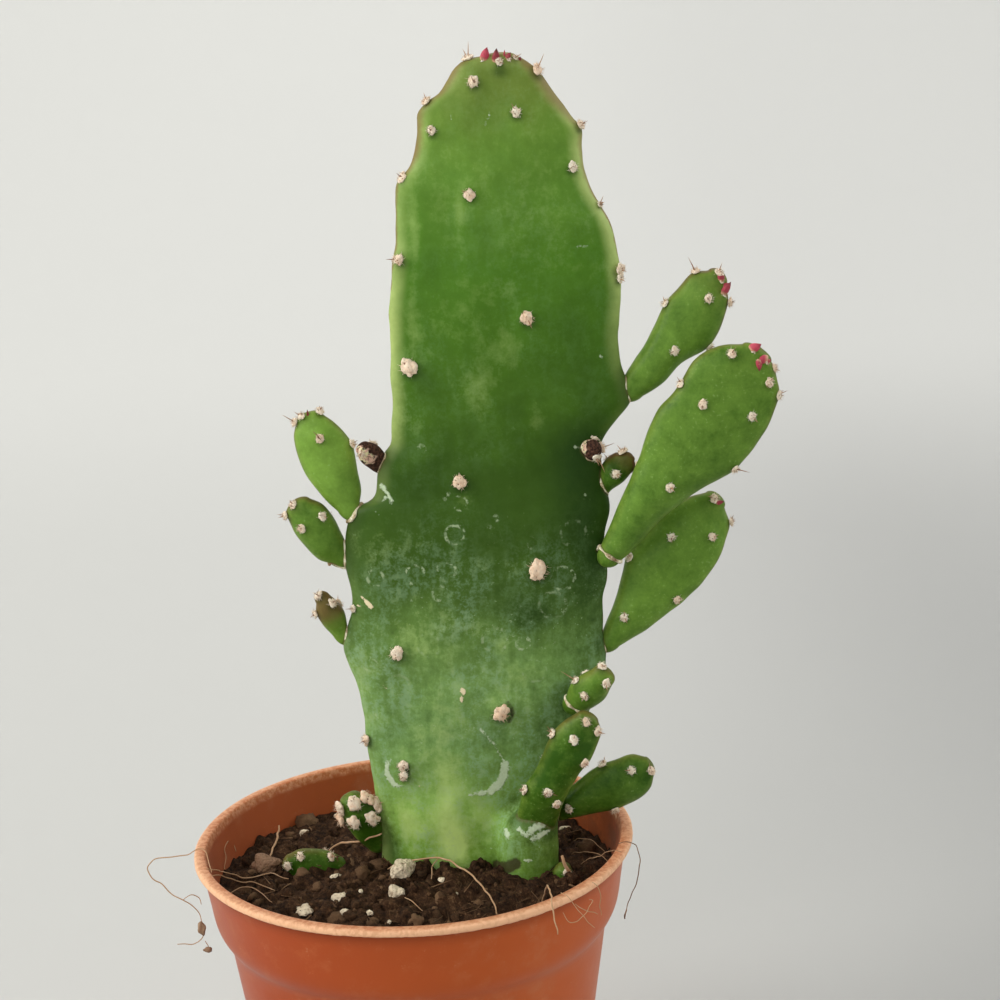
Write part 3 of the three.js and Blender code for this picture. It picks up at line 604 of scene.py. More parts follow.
def add_object(name, data):
    """A new object in the scene, at the origin"""
    thing = bpy.data.objects.new(name, data)
    bpy.context.scene.collection.objects.link(thing)
    return thing


class Shape:
    """Points, faces and painted values of one piece, gathered bit by bit"""

    def __init__(self):
        self.points = []
        self.faces = []
        self.finishes = []
        self.values = {}
        self.count = 0

    def add(self, points, faces, finish=0, **values):
        for corners in faces:
            self.faces.append(corners + self.count)
            self.finishes.append(np.full(len(corners), finish))
        for name, value in values.items():
            self.values.setdefault(name, []).append(np.broadcast_to(value, len(points)))
        self.points.append(points)
        self.count += len(points)

    def mesh(self, name):
        mesh = bpy.data.meshes.new(name)
        points = np.concatenate(self.points) * MM
        corners = np.concatenate([faces.ravel() for faces in self.faces])
        sizes = np.concatenate([np.full(len(faces), faces.shape[1]) for faces in self.faces])
        starts = np.concatenate([[0], np.cumsum(sizes)[:-1]])
        mesh.vertices.add(len(points))
        mesh.vertices.foreach_set("co", points.astype(np.float32).ravel())
        mesh.loops.add(len(corners))
        mesh.loops.foreach_set("vertex_index", corners.astype(np.int32))
        mesh.polygons.add(len(sizes))
        mesh.polygons.foreach_set("loop_start", starts.astype(np.int32))
        mesh.polygons.foreach_set("material_index", np.concatenate(self.finishes).astype(np.int32))
        mesh.update(calc_edges=True)
        for value_name, value in self.values.items():
            layer = mesh.attributes.new(value_name, "FLOAT", "POINT")
            layer.data.foreach_set("value", np.concatenate(value).astype(np.float32))
        mesh.shade_smooth()
        return mesh

    def piece(self, name, finishes, node=None, slot=None):
        """The finished piece, which rides on the part's one body"""
        mesh = self.mesh(name)
        for finish in finishes:
            mesh.materials.append(finish.material)
        piece = add_object(name, mesh)
        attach(piece, "root")
        if node:
            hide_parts(node)
        return piece


# Finishes

class Value:
    """A shader socket that takes part in sums"""

    def __init__(self, finish, output):
        self.finish = finish
        self.output = output

    def sum(self, operation, *terms):
        settings = {"operation": operation}
        return self.finish.node("Math", settings, dict(enumerate(terms)))

    def __add__(self, other):
        return self.sum("ADD", self, other)

    __radd__ = __add__

    def __sub__(self, other):
        return self.sum("SUBTRACT", self, other)

    def __rsub__(self, other):
        return self.sum("SUBTRACT", other, self)

    def __mul__(self, other):
        return self.sum("MULTIPLY", self, other)

    __rmul__ = __mul__

    def above(self, low, high):
        """0 below low, 1 above high, and a smooth rise between them"""
        settings = {"interpolation_type": "SMOOTHSTEP"}
        sockets = {"Value": self, "From Min": low, "From Max": high}
        return self.finish.node("MapRange", settings, sockets)

    def below(self, low, high):
        return 1 - self.above(low, high)

    def clamped(self):
        return self.finish.node("Clamp", {}, {"Value": self})


class Finish:
    """A material that is put together from nodes"""

    def __init__(self, name, **constants):
        self.material = bpy.data.materials.new(name)
        self.material.use_nodes = True
        self.tree = self.material.node_tree
        self.shader = self.tree.nodes["Principled BSDF"]
        for socket, value in constants.items():
            self.shader.inputs[socket.replace("_", " ")].default_value = value
        self.place = self.node("TexCoord", {}, {}, "Object")

    def place_along(self, axis):
        """How far places lie along one axis, in metres"""
        return self.node("SeparateXYZ", {}, {0: self.place}, axis)

    def feed(self, socket, value):
        if isinstance(value, Value):
            self.tree.links.new(value.output, socket)
        elif socket.type == "RGBA":
            socket.default_value = (*value, 1)
        else:
            socket.default_value = value

    def node(self, kind, settings, sockets, output=0):
        node = self.tree.nodes.new("ShaderNode" + kind)
        for name, value in settings.items():
            if name == "stops":
                self.set_stops(node.color_ramp, value)
            else:
                setattr(node, name, value)
        for name, value in sockets.items():
            self.feed(node.inputs[name], value)
        return Value(self, node.outputs[output])

    def set_stops(self, ramp, stops):
        for element, (position, _) in zip(ramp.elements, (stops[0], stops[-1])):
            element.position = position
        for position, _ in stops[1:-1]:
            ramp.elements.new(position)
        for element, (_, colour) in zip(ramp.elements, stops):
            element.color = (*colour, 1)

    def squeezed(self, x, y, z):
        """The place, squeezed along each axis, so that a cloud made from it comes out longer there"""
        return self.node("Mapping", {}, {"Vector": self.place, "Scale": (x, y, z)})

    def noise(self, size, detail=3, roughness=0.55, distortion=0, place=None):
        """Uneven cloud from 0 to 1, with lumps about this many millimetres across"""
        sockets = {
            "Vector": place or self.place,
            "Scale": 1 / (size * MM),
            "Detail": detail,
            "Roughness": roughness,
            "Distortion": distortion,
        }
        return self.node("TexNoise", {}, sockets)

    def cells(self, size):
        return self.node("TexVoronoi", {}, {"Vector": self.place, "Scale": 1 / (size * MM)})

    def painted(self, name):
        return self.node("Attribute", {"attribute_name": name}, {}, "Fac")

    def mix(self, share, colour, other):
        """One colour with a share of another in it"""
        return self.node("Mix", {"data_type": "RGBA"}, {0: share, 6: colour, 7: other}, 2)

    def layered(self, colour, *layers):
        """A colour with layers over it, each a share and the colour of that layer"""
        for share, other in layers:
            colour = self.mix(share, colour, other)
        return colour

    def ramp(self, value, stops):
        return self.node("ValToRGB", {"stops": stops}, {0: value})

    def coat(self, colour, roughness, height, depth):
        """Joins colour, roughness and relief to the shader. The relief's depth is in millimetres."""
        self.feed(self.shader.inputs["Base Color"], colour)
        self.feed(self.shader.inputs["Roughness"], roughness)
        relief = self.node("Bump", {}, {"Height": height, "Distance": depth * MM, "Strength": 1})
        self.feed(self.shader.inputs["Normal"], relief)


def main_skin():
    """Waxy skin of the old pad: dark in the middle, yellower at its edges, powdery and scarred, with
    painted sheen and shade
    """
    skin = Finish("main_pad_skin", Specular_IOR_Level=0.14)
    cloud = skin.noise(15, 4)
    mottle = skin.noise(4.5, 5, 0.62)
    patch = skin.noise(1.6, 4, 0.62)
    grain = skin.noise(0.5, 4, 0.65)
    streak = skin.noise(2.4, 5, 0.6, 0.3, skin.squeezed(1, 1, 0.22))
    level = skin.painted("height") + (cloud - 0.5) * 0.1 + (mottle - 0.5) * 0.06
    green = skin.ramp(level, [
        (0.03, (0.17, 0.33, 0.04)),
        (0.1, (0.275, 0.48, 0.095)),
        (0.19, (0.178, 0.33, 0.09)),
        (0.275, (0.18, 0.325, 0.08)),
        (0.33, (0.125, 0.235, 0.047)),
        (0.38, (0.075, 0.153, 0.022)),
        (0.43, (0.05, 0.113, 0.01)),
        (0.52, (0.045, 0.11, 0.008)),
        (0.6, (0.062, 0.152, 0.01)),
        (0.68, (0.07, 0.18, 0.012)),
        (0.77, (0.08, 0.21, 0.015)),
        (0.85, (0.12, 0.265, 0.03)),
        (0.91, (0.155, 0.3, 0.038)),
        (0.97, (0.17, 0.26, 0.04)),
    ])
    bloom = skin.painted("bloom")
    uneven = (mottle - 0.5) * 1.3 + (patch - 0.5) * 1.1 + (grain - 0.5) * 0.6
    tone = skin.painted("tone") + uneven * (bloom * 0.7 + 0.25) + (streak - 0.5) * bloom
    # Darker patches, some of them painted shade
    dark_tone_and_shade = (0 - tone).clamped()
    powder = (patch * 0.35 + grain * 0.35 + streak * 0.3).above(0.45, 0.58) * bloom * (1 - dark_tone_and_shade)
    powder = powder * (cloud.above(0.4, 0.6) + 0.2)
    fleck = skin.noise(0.6, 2, 0.5).above(0.66, 0.72) * mottle.above(0.5, 0.58) * bloom
    edge = skin.painted("edge_distance")
    # Yellow of the edges, with painted sheen on them
    yellow = edge.below(0.1, 3.4) * (0.45 + mottle * 0.9) * skin.painted("glow")
    ragged = (grain - 0.5) * 1.1 + (patch - 0.5) * 1.2
    ring = (skin.painted("ring_distance") + ragged * 0.5).below(0.06, 0.42)
    ring = ring * skin.noise(1.3, 3).above(0.48, 0.6) * skin.painted("ring_strength")
    rim = (edge + (patch - 0.5) * 0.9).below(0, skin.painted("rim_width")) * (0.3 + cloud)
    white = (skin.painted("white_scar") + ragged).above(-0.05, 0.3)
    tan = (skin.painted("tan_scar") + ragged * 0.5).above(-0.05, 0.12)
    dark = (skin.painted("dark_scar") + ragged * 0.7).above(-0.2, 0.3)
    joint = skin.painted("joint_distance")
    corky = joint.below(0.2, 0.8) * (0.3 + mottle * 0.8)
    green = skin.layered(
        green,
        (tone.clamped() * 0.7, (0.63, 0.83, 0.27)),
        (dark_tone_and_shade * 0.85, (0.014, 0.045, 0.005)),
        (powder.clamped() * 0.5, (0.24, 0.39, 0.24)),
        (fleck * 0.5, (0.42, 0.56, 0.31)),
        (yellow.clamped() * 0.75, (0.54, 0.66, 0.22)),
        (ring * 0.8, (0.5, 0.62, 0.38)),
        (rim.clamped() * 0.85, (0.25, 0.125, 0.06)),
        # Painted shade round the joints where side pads leave the main pad and the lobe
        (joint.below(0.3, 4) * 0.5, (0.016, 0.05, 0.006)),
        (white * (0.5 + grain * 0.6), (0.64, 0.76, 0.54)),
        (dark * 0.85, (0.04, 0.022, 0.014)),
        (tan, (0.86, 0.74, 0.48)),
        (corky.clamped() * 0.7, (0.14, 0.1, 0.045)),
        (skin.painted("areole_shade") * (0.25 + patch * 0.6), (0.014, 0.04, 0.006)),
    )
    roughness = 0.44 + bloom * 0.14 + white * 0.3 + tan * 0.3 + (grain - 0.5) * 0.3
    relief = mottle * 0.4 + patch * 0.3 + grain * 0.2 + ring * 0.2 + white * 0.6 + tan * 0.9 - dark * 0.8
    skin.coat(green, roughness, relief, 0.12)
    return skin


def young_skin():
    """Smooth bright skin of a side pad, between a deep and a pale green"""
    skin = Finish("side_pad_skin", Specular_IOR_Level=0.14)
    cloud = skin.noise(8, 3)
    mottle = skin.noise(2.4, 4, 0.62)
    grain = skin.noise(0.6, 4, 0.6)
    along = skin.painted("along")
    share = skin.painted("tone") + (cloud - 0.5) * 0.7 + (mottle - 0.5) * 0.55 + (grain - 0.5) * 0.2
    edge = skin.painted("edge_distance")
    yellow = edge.below(0.1, 1.6) * (mottle * 1.6 - 0.45).clamped()
    fleck = skin.noise(0.6, 2).above(0.62, 0.7) * cloud.above(0.45, 0.6)
    blush = skin.painted("blush")
    red = (along + (mottle - 0.5) * 0.4 + blush).above(0.95, 1.5) * blush * 1.1
    red = red + (edge + (mottle - 0.5) * 0.5).below(0, 0.7) * along.above(0.3, 0.9) * (0.15 + blush * 2)
    corky = skin.painted("joint_distance").below(0.1, 0.7) * (0.3 + mottle * 0.8)
    green = skin.layered(
        (0.033, 0.1, 0.005),
        (share.clamped(), (0.25, 0.45, 0.065)),
        (yellow * 0.5, (0.3, 0.38, 0.06)),
        (fleck * 0.3, (0.3, 0.46, 0.16)),
        (red.clamped() * 0.8, (0.17, 0.075, 0.035)),
        (corky.clamped() * 0.7, (0.14, 0.1, 0.04)),
        (skin.painted("areole_shade") * (0.15 + mottle * 0.5), (0.01, 0.03, 0.004)),
    )
    roughness = 0.4 + (grain - 0.5) * 0.25 + (cloud - 0.5) * 0.15
    skin.coat(green, roughness, mottle * 0.5 + grain * 0.35, 0.1)
    return skin


def dry_skin():
    """Dead brown skin with a ragged peel of cream"""
    skin = Finish("dry_bud_skin", Specular_IOR_Level=0.2)
    grain = skin.noise(0.45, 4, 0.7)
    patch = skin.noise(1.1, 3)
    crease = skin.noise(0.9, 3, 0.6, 1.2)
    peel = (skin.painted("peel") + (patch - 0.5) * 1.3 + (grain - 0.5) * 0.5).above(0.42, 0.56)
    cream = skin.layered(
        (0.95, 0.86, 0.52),
        (patch.above(0.45, 0.6), (0.85, 0.55, 0.42)),
        (crease.below(0.4, 0.47) * 0.9, (0.18, 0.07, 0.045)),
    )
    brown = skin.layered(
        (0.03, 0.012, 0.008),
        (grain.above(0.4, 0.65), (0.15, 0.068, 0.042)),
        (peel, cream),
    )
    skin.coat(brown, 0.7 + grain * 0.2, grain * 0.6 + crease + peel * 1.2, 0.45)
    return skin


def wool():
    """Felted cream wool of an areole with a few brown specks"""
    felt = Finish("areole_wool", Specular_IOR_Level=0.1)
    grain = felt.noise(0.32, 3, 0.7)
    clump = felt.noise(0.9, 2)
    share = felt.painted("tint") + (clump - 0.5) * 1.1
    speck = (felt.painted("heart") + (grain - 0.5) * 0.7).above(0.4, 0.7)
    cream = felt.layered(
        (1.0, 0.95, 0.8),
        (share.clamped(), (0.88, 0.62, 0.43)),
        (grain.below(0.34, 0.46) * 0.25, (0.62, 0.38, 0.22)),
        (speck * 0.85, (0.2, 0.075, 0.035)),
    )
    felt.coat(cream, 0.9 + grain * 0.1, grain, 0.1)
    return felt


def bristle():
    """Brown needles, paler in places"""
    needle = Finish("spines_and_bristles", Specular_IOR_Level=0.3)
    streak = needle.noise(0.6, 2)
    brown = needle.layered(
        (0.52, 0.3, 0.17),
        (needle.painted("tint"), (0.2, 0.07, 0.04)),
        (streak.above(0.5, 0.7) * 0.5, (0.6, 0.42, 0.27)),
    )
    needle.coat(brown, 0.45 + streak * 0.2, streak, 0.02)
    return needle


def young_leaf():
    """Pink-red leaf, darker at its tip and paler at its foot"""
    leaf = Finish("young_leaves", Specular_IOR_Level=0.35)
    cloud = leaf.noise(0.7, 3)
    share = leaf.painted("tint") + (cloud - 0.5) * 0.8
    pink = share.clamped()
    heart = leaf.painted("heart")
    red = leaf.layered(
        (0.24, 0.035, 0.038),
        (pink, (0.7, 0.08, 0.14)),
        (heart.above(0.6, 1) * (1 - pink * 0.6), (0.07, 0.025, 0.02)),
        (heart.below(0, 0.3) * 0.6, (0.88, 0.66, 0.38)),
    )
    leaf.coat(red, 0.4 + cloud * 0.2, cloud, 0.05)
    return leaf


def cork():
    """Pale corky rim of a joint, brown in places"""
    rim = Finish("joint_cork", Specular_IOR_Level=0.2)
    grain = rim.noise(0.35, 4, 0.7)
    patch = rim.noise(1.8, 3)
    cream = rim.ramp(patch * 0.6 + grain * 0.4, [
        (0.36, (0.2, 0.11, 0.05)),
        (0.46, (0.66, 0.54, 0.34)),
        (0.56, (0.95, 0.9, 0.7)),
    ])
    rim.coat(cream, 0.8 + grain * 0.15, grain, 0.15)
    return rim


def pot_plastic():
    """Thin orange-brown plastic, worn pale at the lip and a little dusty, with painted light and shade"""
    plastic = Finish("pot_plastic", Specular_IOR_Level=0.22, Sheen_Weight=0.06, Sheen_Roughness=0.45)
    cloud = plastic.noise(26, 3)
    mottle = plastic.noise(5, 5, 0.65)
    grain = plastic.noise(0.5, 4, 0.6)
    rightwards = plastic.place_along("X").above(-0.04, 0.04)
    inside = plastic.painted("inside")
    lip = plastic.painted("lip")
    wear = plastic.painted("lip_edge") * 0.85 + plastic.noise(0.9, 4, 0.65).above(0.4, 0.6) * 0.35
    dust = (mottle * cloud * 4).above(0.9, 1.7) * 0.18
    smear = (plastic.painted("smear") + (grain - 0.5) * 0.9).above(0.35, 0.6)
    scratch = plastic.noise(1.1, 2, 0.5, 4).above(0.66, 0.71) * mottle.above(0.5, 0.6)
    orange = plastic.layered(
        (0.33, 0.045, 0.006),
        # Painted light: the outside is lighter towards the right, and a little cloudy
        (rightwards * 0.7 + cloud * 0.3, (0.58, 0.115, 0.018)),
        (mottle.above(0.5, 0.75) * 0.25, (0.54, 0.13, 0.035)),
        (inside * 0.75, (0.4, 0.1, 0.032)),
        # Painted shade on the inside of the wall on the right
        (inside * rightwards * mottle.above(0.4, 0.6) * 0.5, (0.14, 0.035, 0.012)),
        (plastic.painted("lip_shade") * 0.4, (0.13, 0.02, 0.004)),
        (lip * 0.95, plastic.mix(wear.clamped(), (0.5, 0.16, 0.055), (0.95, 0.56, 0.33))),
        (dust, (0.55, 0.28, 0.15)),
        (smear * 0.7, (0.68, 0.44, 0.27)),
        (scratch * 0.3, (0.6, 0.3, 0.16)),
    )
    roughness = 0.4 + (mottle - 0.5) * 0.25 + lip * 0.2 + smear * 0.2
    plastic.coat(orange, roughness, grain * 0.4 + mottle * 0.4 + smear * 0.6, 0.05)
    return plastic


def potting_mix():
    """Damp dark soil with paler fibres and dust"""
    soil = Finish("potting_mix", Specular_IOR_Level=0.15)
    cloud = soil.noise(6, 4)
    crumb = soil.noise(1.2, 5, 0.7)
    grain = soil.noise(0.3, 3, 0.7)
    brown = soil.ramp(crumb * 0.55 + cloud * 0.25 + grain * 0.2, [
        (0.36, (0.009, 0.005, 0.003)),
        (0.47, (0.036, 0.017, 0.008)),
        (0.57, (0.08, 0.039, 0.018)),
        (0.68, (0.23, 0.13, 0.065)),
    ])
    brown = soil.mix(soil.painted("tint"), brown, (0.29, 0.17, 0.09))
    soil.coat(brown, 0.85 + grain * 0.12, crumb * 0.7 + grain * 0.3, 0.5)
    return soil


def perlite():
    """Pale porous grains with soil in their pores"""
    stone = Finish("perlite_grains", Specular_IOR_Level=0.15)
    pit = stone.cells(0.55)
    patch = stone.noise(1.2, 4, 0.65)
    pale = stone.layered(
        (0.95, 0.82, 0.6),
        (stone.painted("tint"), (0.24, 0.13, 0.075)),
        (patch.above(0.5, 0.64) * 0.65, (0.2, 0.115, 0.06)),
        (pit.below(0.1, 0.3) * 0.3, (0.3, 0.19, 0.11)),
    )
    stone.coat(pale, 0.9 + patch * 0.08, pit + patch * 0.6, 0.35)
    return stone


def root_fibre():
    """Dry tan threads, some of them dark"""
    fibre = Finish("root_fibres", Specular_IOR_Level=0.2)
    patch = fibre.noise(2.4, 3)
    tan = fibre.layered(
        (0.58, 0.35, 0.19),
        (fibre.painted("tint"), (0.14, 0.07, 0.04)),
        (patch.above(0.45, 0.7) * 0.4, (0.7, 0.5, 0.33)),
    )
    fibre.coat(tan, 0.75 + patch * 0.15, patch, 0.04)
    return fibre


# Pads

class Pad:
    """The form of a pad: its axis, its sections along it, and the places where things grow"""

    def __init__(self, name, origin, lean, pitch, edges, thickness, start, length, swell):
        self.name = name
        self.edges = edges
        self.thickness = thickness
        self.start = start
        self.length = length
        self.round_foot = 0
        self.origin = np.array(origin, float)
        lean = math.radians(lean)
        pitch = math.radians(pitch)
        self.along = np.array([
            math.sin(lean) * math.cos(pitch), -math.sin(pitch), math.cos(lean) * math.cos(pitch),
        ])
        level = np.array([math.cos(lean), 0, -math.sin(lean)])
        self.facing = unit(np.cross(level, self.along))
        self.across = np.cross(self.along, self.facing)
        self.areoles = []
        self.swell = swell
        self.rim_points = np.zeros((0, 3))

    def section(self, s):
        """Middle, half breadth and half thickness of the section"""
        left = smooth_value(self.edges, 1, s)
        right = smooth_value(self.edges, 2, s)
        last = self.edges[-1][0]
        beyond = np.clip((s - last) / (self.length - last), 0, 1)
        closing = np.sqrt(1 - beyond**2)
        if self.round_foot:
            closing = closing * np.sqrt(1 - np.clip(-s / self.round_foot, 0, 1) ** 2)
        depth = smooth_value(self.thickness, 1, s) / 2
        return (left + right) / 2, (right - left) / 2 * closing, depth * closing

    def skin(self, s, angle):
        middle, breadth, depth = self.section(s)
        sideways = (middle + breadth * np.cos(angle))[:, None] * self.across
        outward = (depth * np.sin(angle))[:, None] * self.facing
        return self.origin + s[:, None] * self.along + sideways + outward

    def normal(self, s, angle):
        step = 0.1
        reach = np.minimum(s, self.length - 2 * step)
        _, breadth, depth = self.section(reach)
        lengthwise = self.skin(reach + step, angle) - self.skin(reach - step, angle)
        around = (-breadth * np.sin(angle))[:, None] * self.across
        around = around + (depth * np.cos(angle))[:, None] * self.facing
        return unit(np.cross(lengthwise, around))

    def spots(self, s, across, face=1):
        """Points of the skin at places along and across one face, and the ways it faces there"""
        reach = np.minimum(s, self.length - TIP_MARGIN)
        middle, breadth, _ = self.section(reach)
        angle = face * np.arccos(np.clip((across - middle) / breadth, -EDGE_SHARE, EDGE_SHARE))
        return self.skin(reach, angle), self.normal(reach, angle)

    def grow_areoles(self, places, face):
        """Marks areoles at places along and across one face, each with its size"""
        if places:
            s, across, sizes = np.array(places, float).T
            self.areoles.extend(zip(*self.spots(s, across, face), sizes))

    def areole_shade(self, points):
        """Painted shade on the skin close round each areole, mostly below it"""
        shade = np.zeros(len(points))
        for centre, _, size in self.areoles:
            radius = TUFT_RADIUS * size
            distance = np.linalg.norm(points - centre + [0, 0, 0.45 * radius], axis=1)
            reach = np.clip((distance - 0.8 * radius) / (0.4 + 0.6 * radius), 0, 1)
            shade = np.maximum(shade, (1 - reach) ** 2)
        return shade

    def relief(self, points):
        """How far the skin stands out: a low rise under each areole, and slow swells"""
        rise = self.swell * ripples(points, 13, 3) + 0.3 * self.swell * ripples(points, 4.5, 4)
        tubercle = np.zeros(len(points))
        for centre, _, size in self.areoles:
            distance = np.linalg.norm(points - centre, axis=1)
            tubercle = np.maximum(tubercle, 0.45 * size * bump_at(distance, 1.7 + 0.5 * size))
        return rise + tubercle

    def rows(self, spacing):
        """Places of the skin's rows: even along the pad, closer on the closing of its tip"""
        last = self.edges[-1][0]
        count = max(int((last - self.start) / spacing), 6)
        turn = np.sin(np.linspace(0, math.pi / 2, 9)[1:-1])
        tip = last + (self.length - last) * turn
        if not self.round_foot:
            return np.concatenate([np.linspace(self.start, last, count), tip])
        foot = -self.round_foot * turn[::-1]
        return np.concatenate([foot, np.linspace(0, last, count), tip])

    def draw_skin(self, shape, grid, marks, reshape=None):
        """Adds the skin to a shape, with the values that its finish reads"""
        columns, spacing = grid
        s_rows = self.rows(spacing)
        turn = round_angles(columns)
        turn = turn + FACE_CROWDING * np.sin(2 * turn)
        s = np.repeat(s_rows, columns)
        angle = np.tile(turn, len(s_rows))
        base = self.skin(s, angle)
        points = base + self.normal(s, angle) * self.relief(base)[:, None]
        if reshape:
            points = reshape(points)
        foot_row = np.full(1, float(self.start))
        foot = self.origin + self.start * self.along + self.section(foot_row)[0][:, None] * self.across
        tip_row = np.full(1, float(self.length))
        tip = self.skin(tip_row, np.zeros(1)) + self.along * 0.02
        points = np.concatenate([points, foot, tip])
        s = np.concatenate([s, [self.start, self.length]])
        angle = np.concatenate([angle, [0, 0]])
        _, breadth, _ = self.section(s)
        edge = np.minimum(breadth * (1 - np.abs(np.cos(angle))), self.length - s)
        values = dict(
            edge_distance=edge,
            along=np.clip(s / self.length, 0, 1),
            areole_shade=self.areole_shade(points),
            joint_distance=nearest_distance(points, self.rim_points, JOINT_SHADE),
        )
        values.update(marks(points, s))
        shape.add(points, closed_faces(len(s_rows), columns), **values)


def nearest_distance(points, targets, limit):
    nearest = np.full(len(points), float(limit))
    for target in targets:
        nearest = np.minimum(nearest, np.linalg.norm(points - target, axis=1))
    return nearest


def back_places(pad, first, last, step):
    """Areoles in staggered rows on the back of a pad"""
    places = []
    row = 0
    while first + row * step <= last:
        s = first + row * step
        middle, breadth, _ = (part[0] for part in pad.section(np.array([float(s)])))
        for offset in [0] if row % 2 else [-0.5, 0.5]:
            places.append((s, middle + offset * breadth, 1.0))
        row += 1
    return places


def main_pad():
    pad = Pad(
        "pad_main", (0, MAIN_PLANE_Y, 0), 0, 0, MAIN_EDGES, MAIN_THICKNESS, MAIN_FOOT_Z, MAIN_TIP_Z,
        MAIN_SWELL,
    )
    pad.grow_areoles(MAIN_FRONT_AREOLES + MAIN_EDGE_AREOLES, 1)
    pad.grow_areoles(back_places(pad, *MAIN_BACK_ROWS), -1)
    return pad


def foot_lobe():
    return Pad("lobe", LOBE_ORIGIN, 0, 0, LOBE_EDGES, LOBE_THICKNESS, LOBE_FOOT, LOBE_TOP, LOBE_SWELL)


def side_pad(entry):
    length = entry["length"]
    edges = [(s, -left, right) for s, left, right in entry["edges"]]
    thickness = [(place * length, share * entry["thick"]) for place, share in SIDE_THICKNESS]
    pad = Pad(
        entry["name"], entry["joint"], entry["lean"], entry["pitch"], edges, thickness,
        -SIDE_PAD_SINK, length, SIDE_SWELL,
    )
    pad.round_foot = SIDE_PAD_SINK
    size = SHORT_BUD_TUFT_SCALE if length < SHORT_BUD_LENGTH else SIDE_TUFT_SCALE
    if entry["name"] == WOOLLY_CROWN:
        size = CROWN_TUFT_SCALE
    pad.grow_areoles([(s, across, size) for s, across in entry["areoles"]], 1)
    first, last, step = (share * length for share in SIDE_BACK_ROWS)
    pad.grow_areoles(back_places(pad, first, last, max(step, LEAST_BACK_STEP)), -1)
    return pad


def lies_in(pad, points):
    """Whether points lie in a pad's body"""
    local = points - pad.origin
    s = local @ pad.along
    middle, breadth, depth = pad.section(s)
    across = (local @ pad.across - middle) / np.maximum(breadth, 1e-6)
    out = (local @ pad.facing) / np.maximum(depth, 1e-6)
    return (across**2 + out**2 < 1) & (s > pad.start) & (s < pad.length)


def joint_line(pad, hosts):
    """The closed line on which a side pad's skin leaves the pads it grows from"""
    angles = round_angles(JOINT_POINTS)
    reach = np.linspace(-SIDE_PAD_SINK, JOINT_REACH, JOINT_STEPS)
    line = []
    for angle in angles:
        points = pad.skin(reach, np.full(len(reach), angle))
        covered = np.any([lies_in(host, points) for host in hosts], axis=0)
        line.append(reach[np.flatnonzero(covered)[-1]] if covered.any() else 0.0)
    line = np.array(line)
    line = (np.roll(line, 1) + 2 * line + np.roll(line, -1)) / 4
    return line, angles


def draw_rim(shape, pad, line, angles, thickness, seed):
    """A thin uneven corky rim along a joint line"""
    points = pad.skin(line, angles)
    outward = pad.normal(line, angles)
    uneven = 0.75 + 0.45 * ripples(points, 2.2, seed)
    radii = thickness * np.clip(uneven, 0.3, 1.5)
    centre = points + outward * (0.25 * radii)[:, None]
    spokes = spokes_between(outward, np.broadcast_to(pad.along, outward.shape), RIM_SIDES)
    rings = centre[:, None] + spokes * radii[:, None, None]
    row = np.arange(JOINT_POINTS)[:, None] * RIM_SIDES
    ahead = np.roll(row, -1, axis=0)
    column = np.arange(RIM_SIDES)[None]
    beside = (column + 1) % RIM_SIDES
    corners = [row + column, row + beside, ahead + beside, ahead + column]
    shape.add(rings.reshape(-1, 3), [np.stack(corners, axis=-1).reshape(-1, 4)])


# What grows on the pads

# Balls for the lumps of large and of small tufts
BALL_FINE = ball(3)
BALL_PLAIN = ball(2)


def grow_tuft(shape, centre, normal, size, random, hairs):
    """An areole: felted lumps with brown specks, wool hairs and short bristles"""
    radius = TUFT_RADIUS * size
    first, second = (direction[0] for direction in square_to(normal[None]))
    turn = random.normal(scale=0.3)
    sideways = first * math.cos(turn) + second * math.sin(turn)
    axes = np.array([sideways, np.cross(normal, sideways), normal])
    tint = float(np.clip(0.55 * size - 0.25 + random.uniform(0, 0.45), 0, 1))
    specks = random.normal(scale=0.3, size=(int(random.integers(1, 3)), 2))
    lumps = int(random.integers(4, 7))
    points, faces = BALL_FINE if size > 0.5 else BALL_PLAIN
    for number in range(lumps + 1):
        angle = (number + random.normal(scale=0.2)) * 2 * math.pi / lumps
        reach = random.uniform(0.36, 0.6) if number else 0
        width = random.uniform(0.36, 0.56) if number else 0.72
        bumps = 1 + 0.13 * ripples(points, 1.2, int(random.integers(1000)))
        form = points * bumps[:, None] * width * [1, 1, 0.85]
        form = (form + [reach * math.cos(angle), reach * math.sin(angle), 0.12]) * [0.9, 1.12, 0.72]
        apart = [np.linalg.norm(form[:, :2] - speck, axis=1) for speck in specks]
        heart = bump_at(np.min(apart, axis=0), 0.15) * (form[:, 2] > 0)
        form[:, 2] += 0.18 - 0.2 * heart
        shape.add(centre + form * radius @ axes, [faces], OF_WOOL, tint=tint, heart=heart)
    add_hairs(shape, centre, axes, radius, random, hairs, tint)
    add_bristles(shape, centre, axes, radius, random)


def add_hairs(shape, centre, axes, radius, random, count, tint):
    around = random.uniform(0, 2 * math.pi, count)
    height = random.uniform(0.05, 0.95, count)
    flat = np.sqrt(1 - height**2)
    local = np.stack([flat * np.cos(around), flat * np.sin(around), height * 0.62 + 0.25], axis=1)
    roots = centre + local * radius * 0.9 @ axes
    leaning = unit(local + random.normal(scale=0.45, size=(count, 3))) @ axes
    lengths = WOOL_LENGTH * random.uniform(0.5, 1.5, count) * (0.5 + 0.5 * radius)
    bends = random.normal(scale=0.14, size=(count, 3))
    points, faces = strands(roots, leaning, lengths, np.full(count, WOOL_RADIUS), bends)
    shape.add(points, faces, OF_WOOL, tint=tint, heart=0.0)


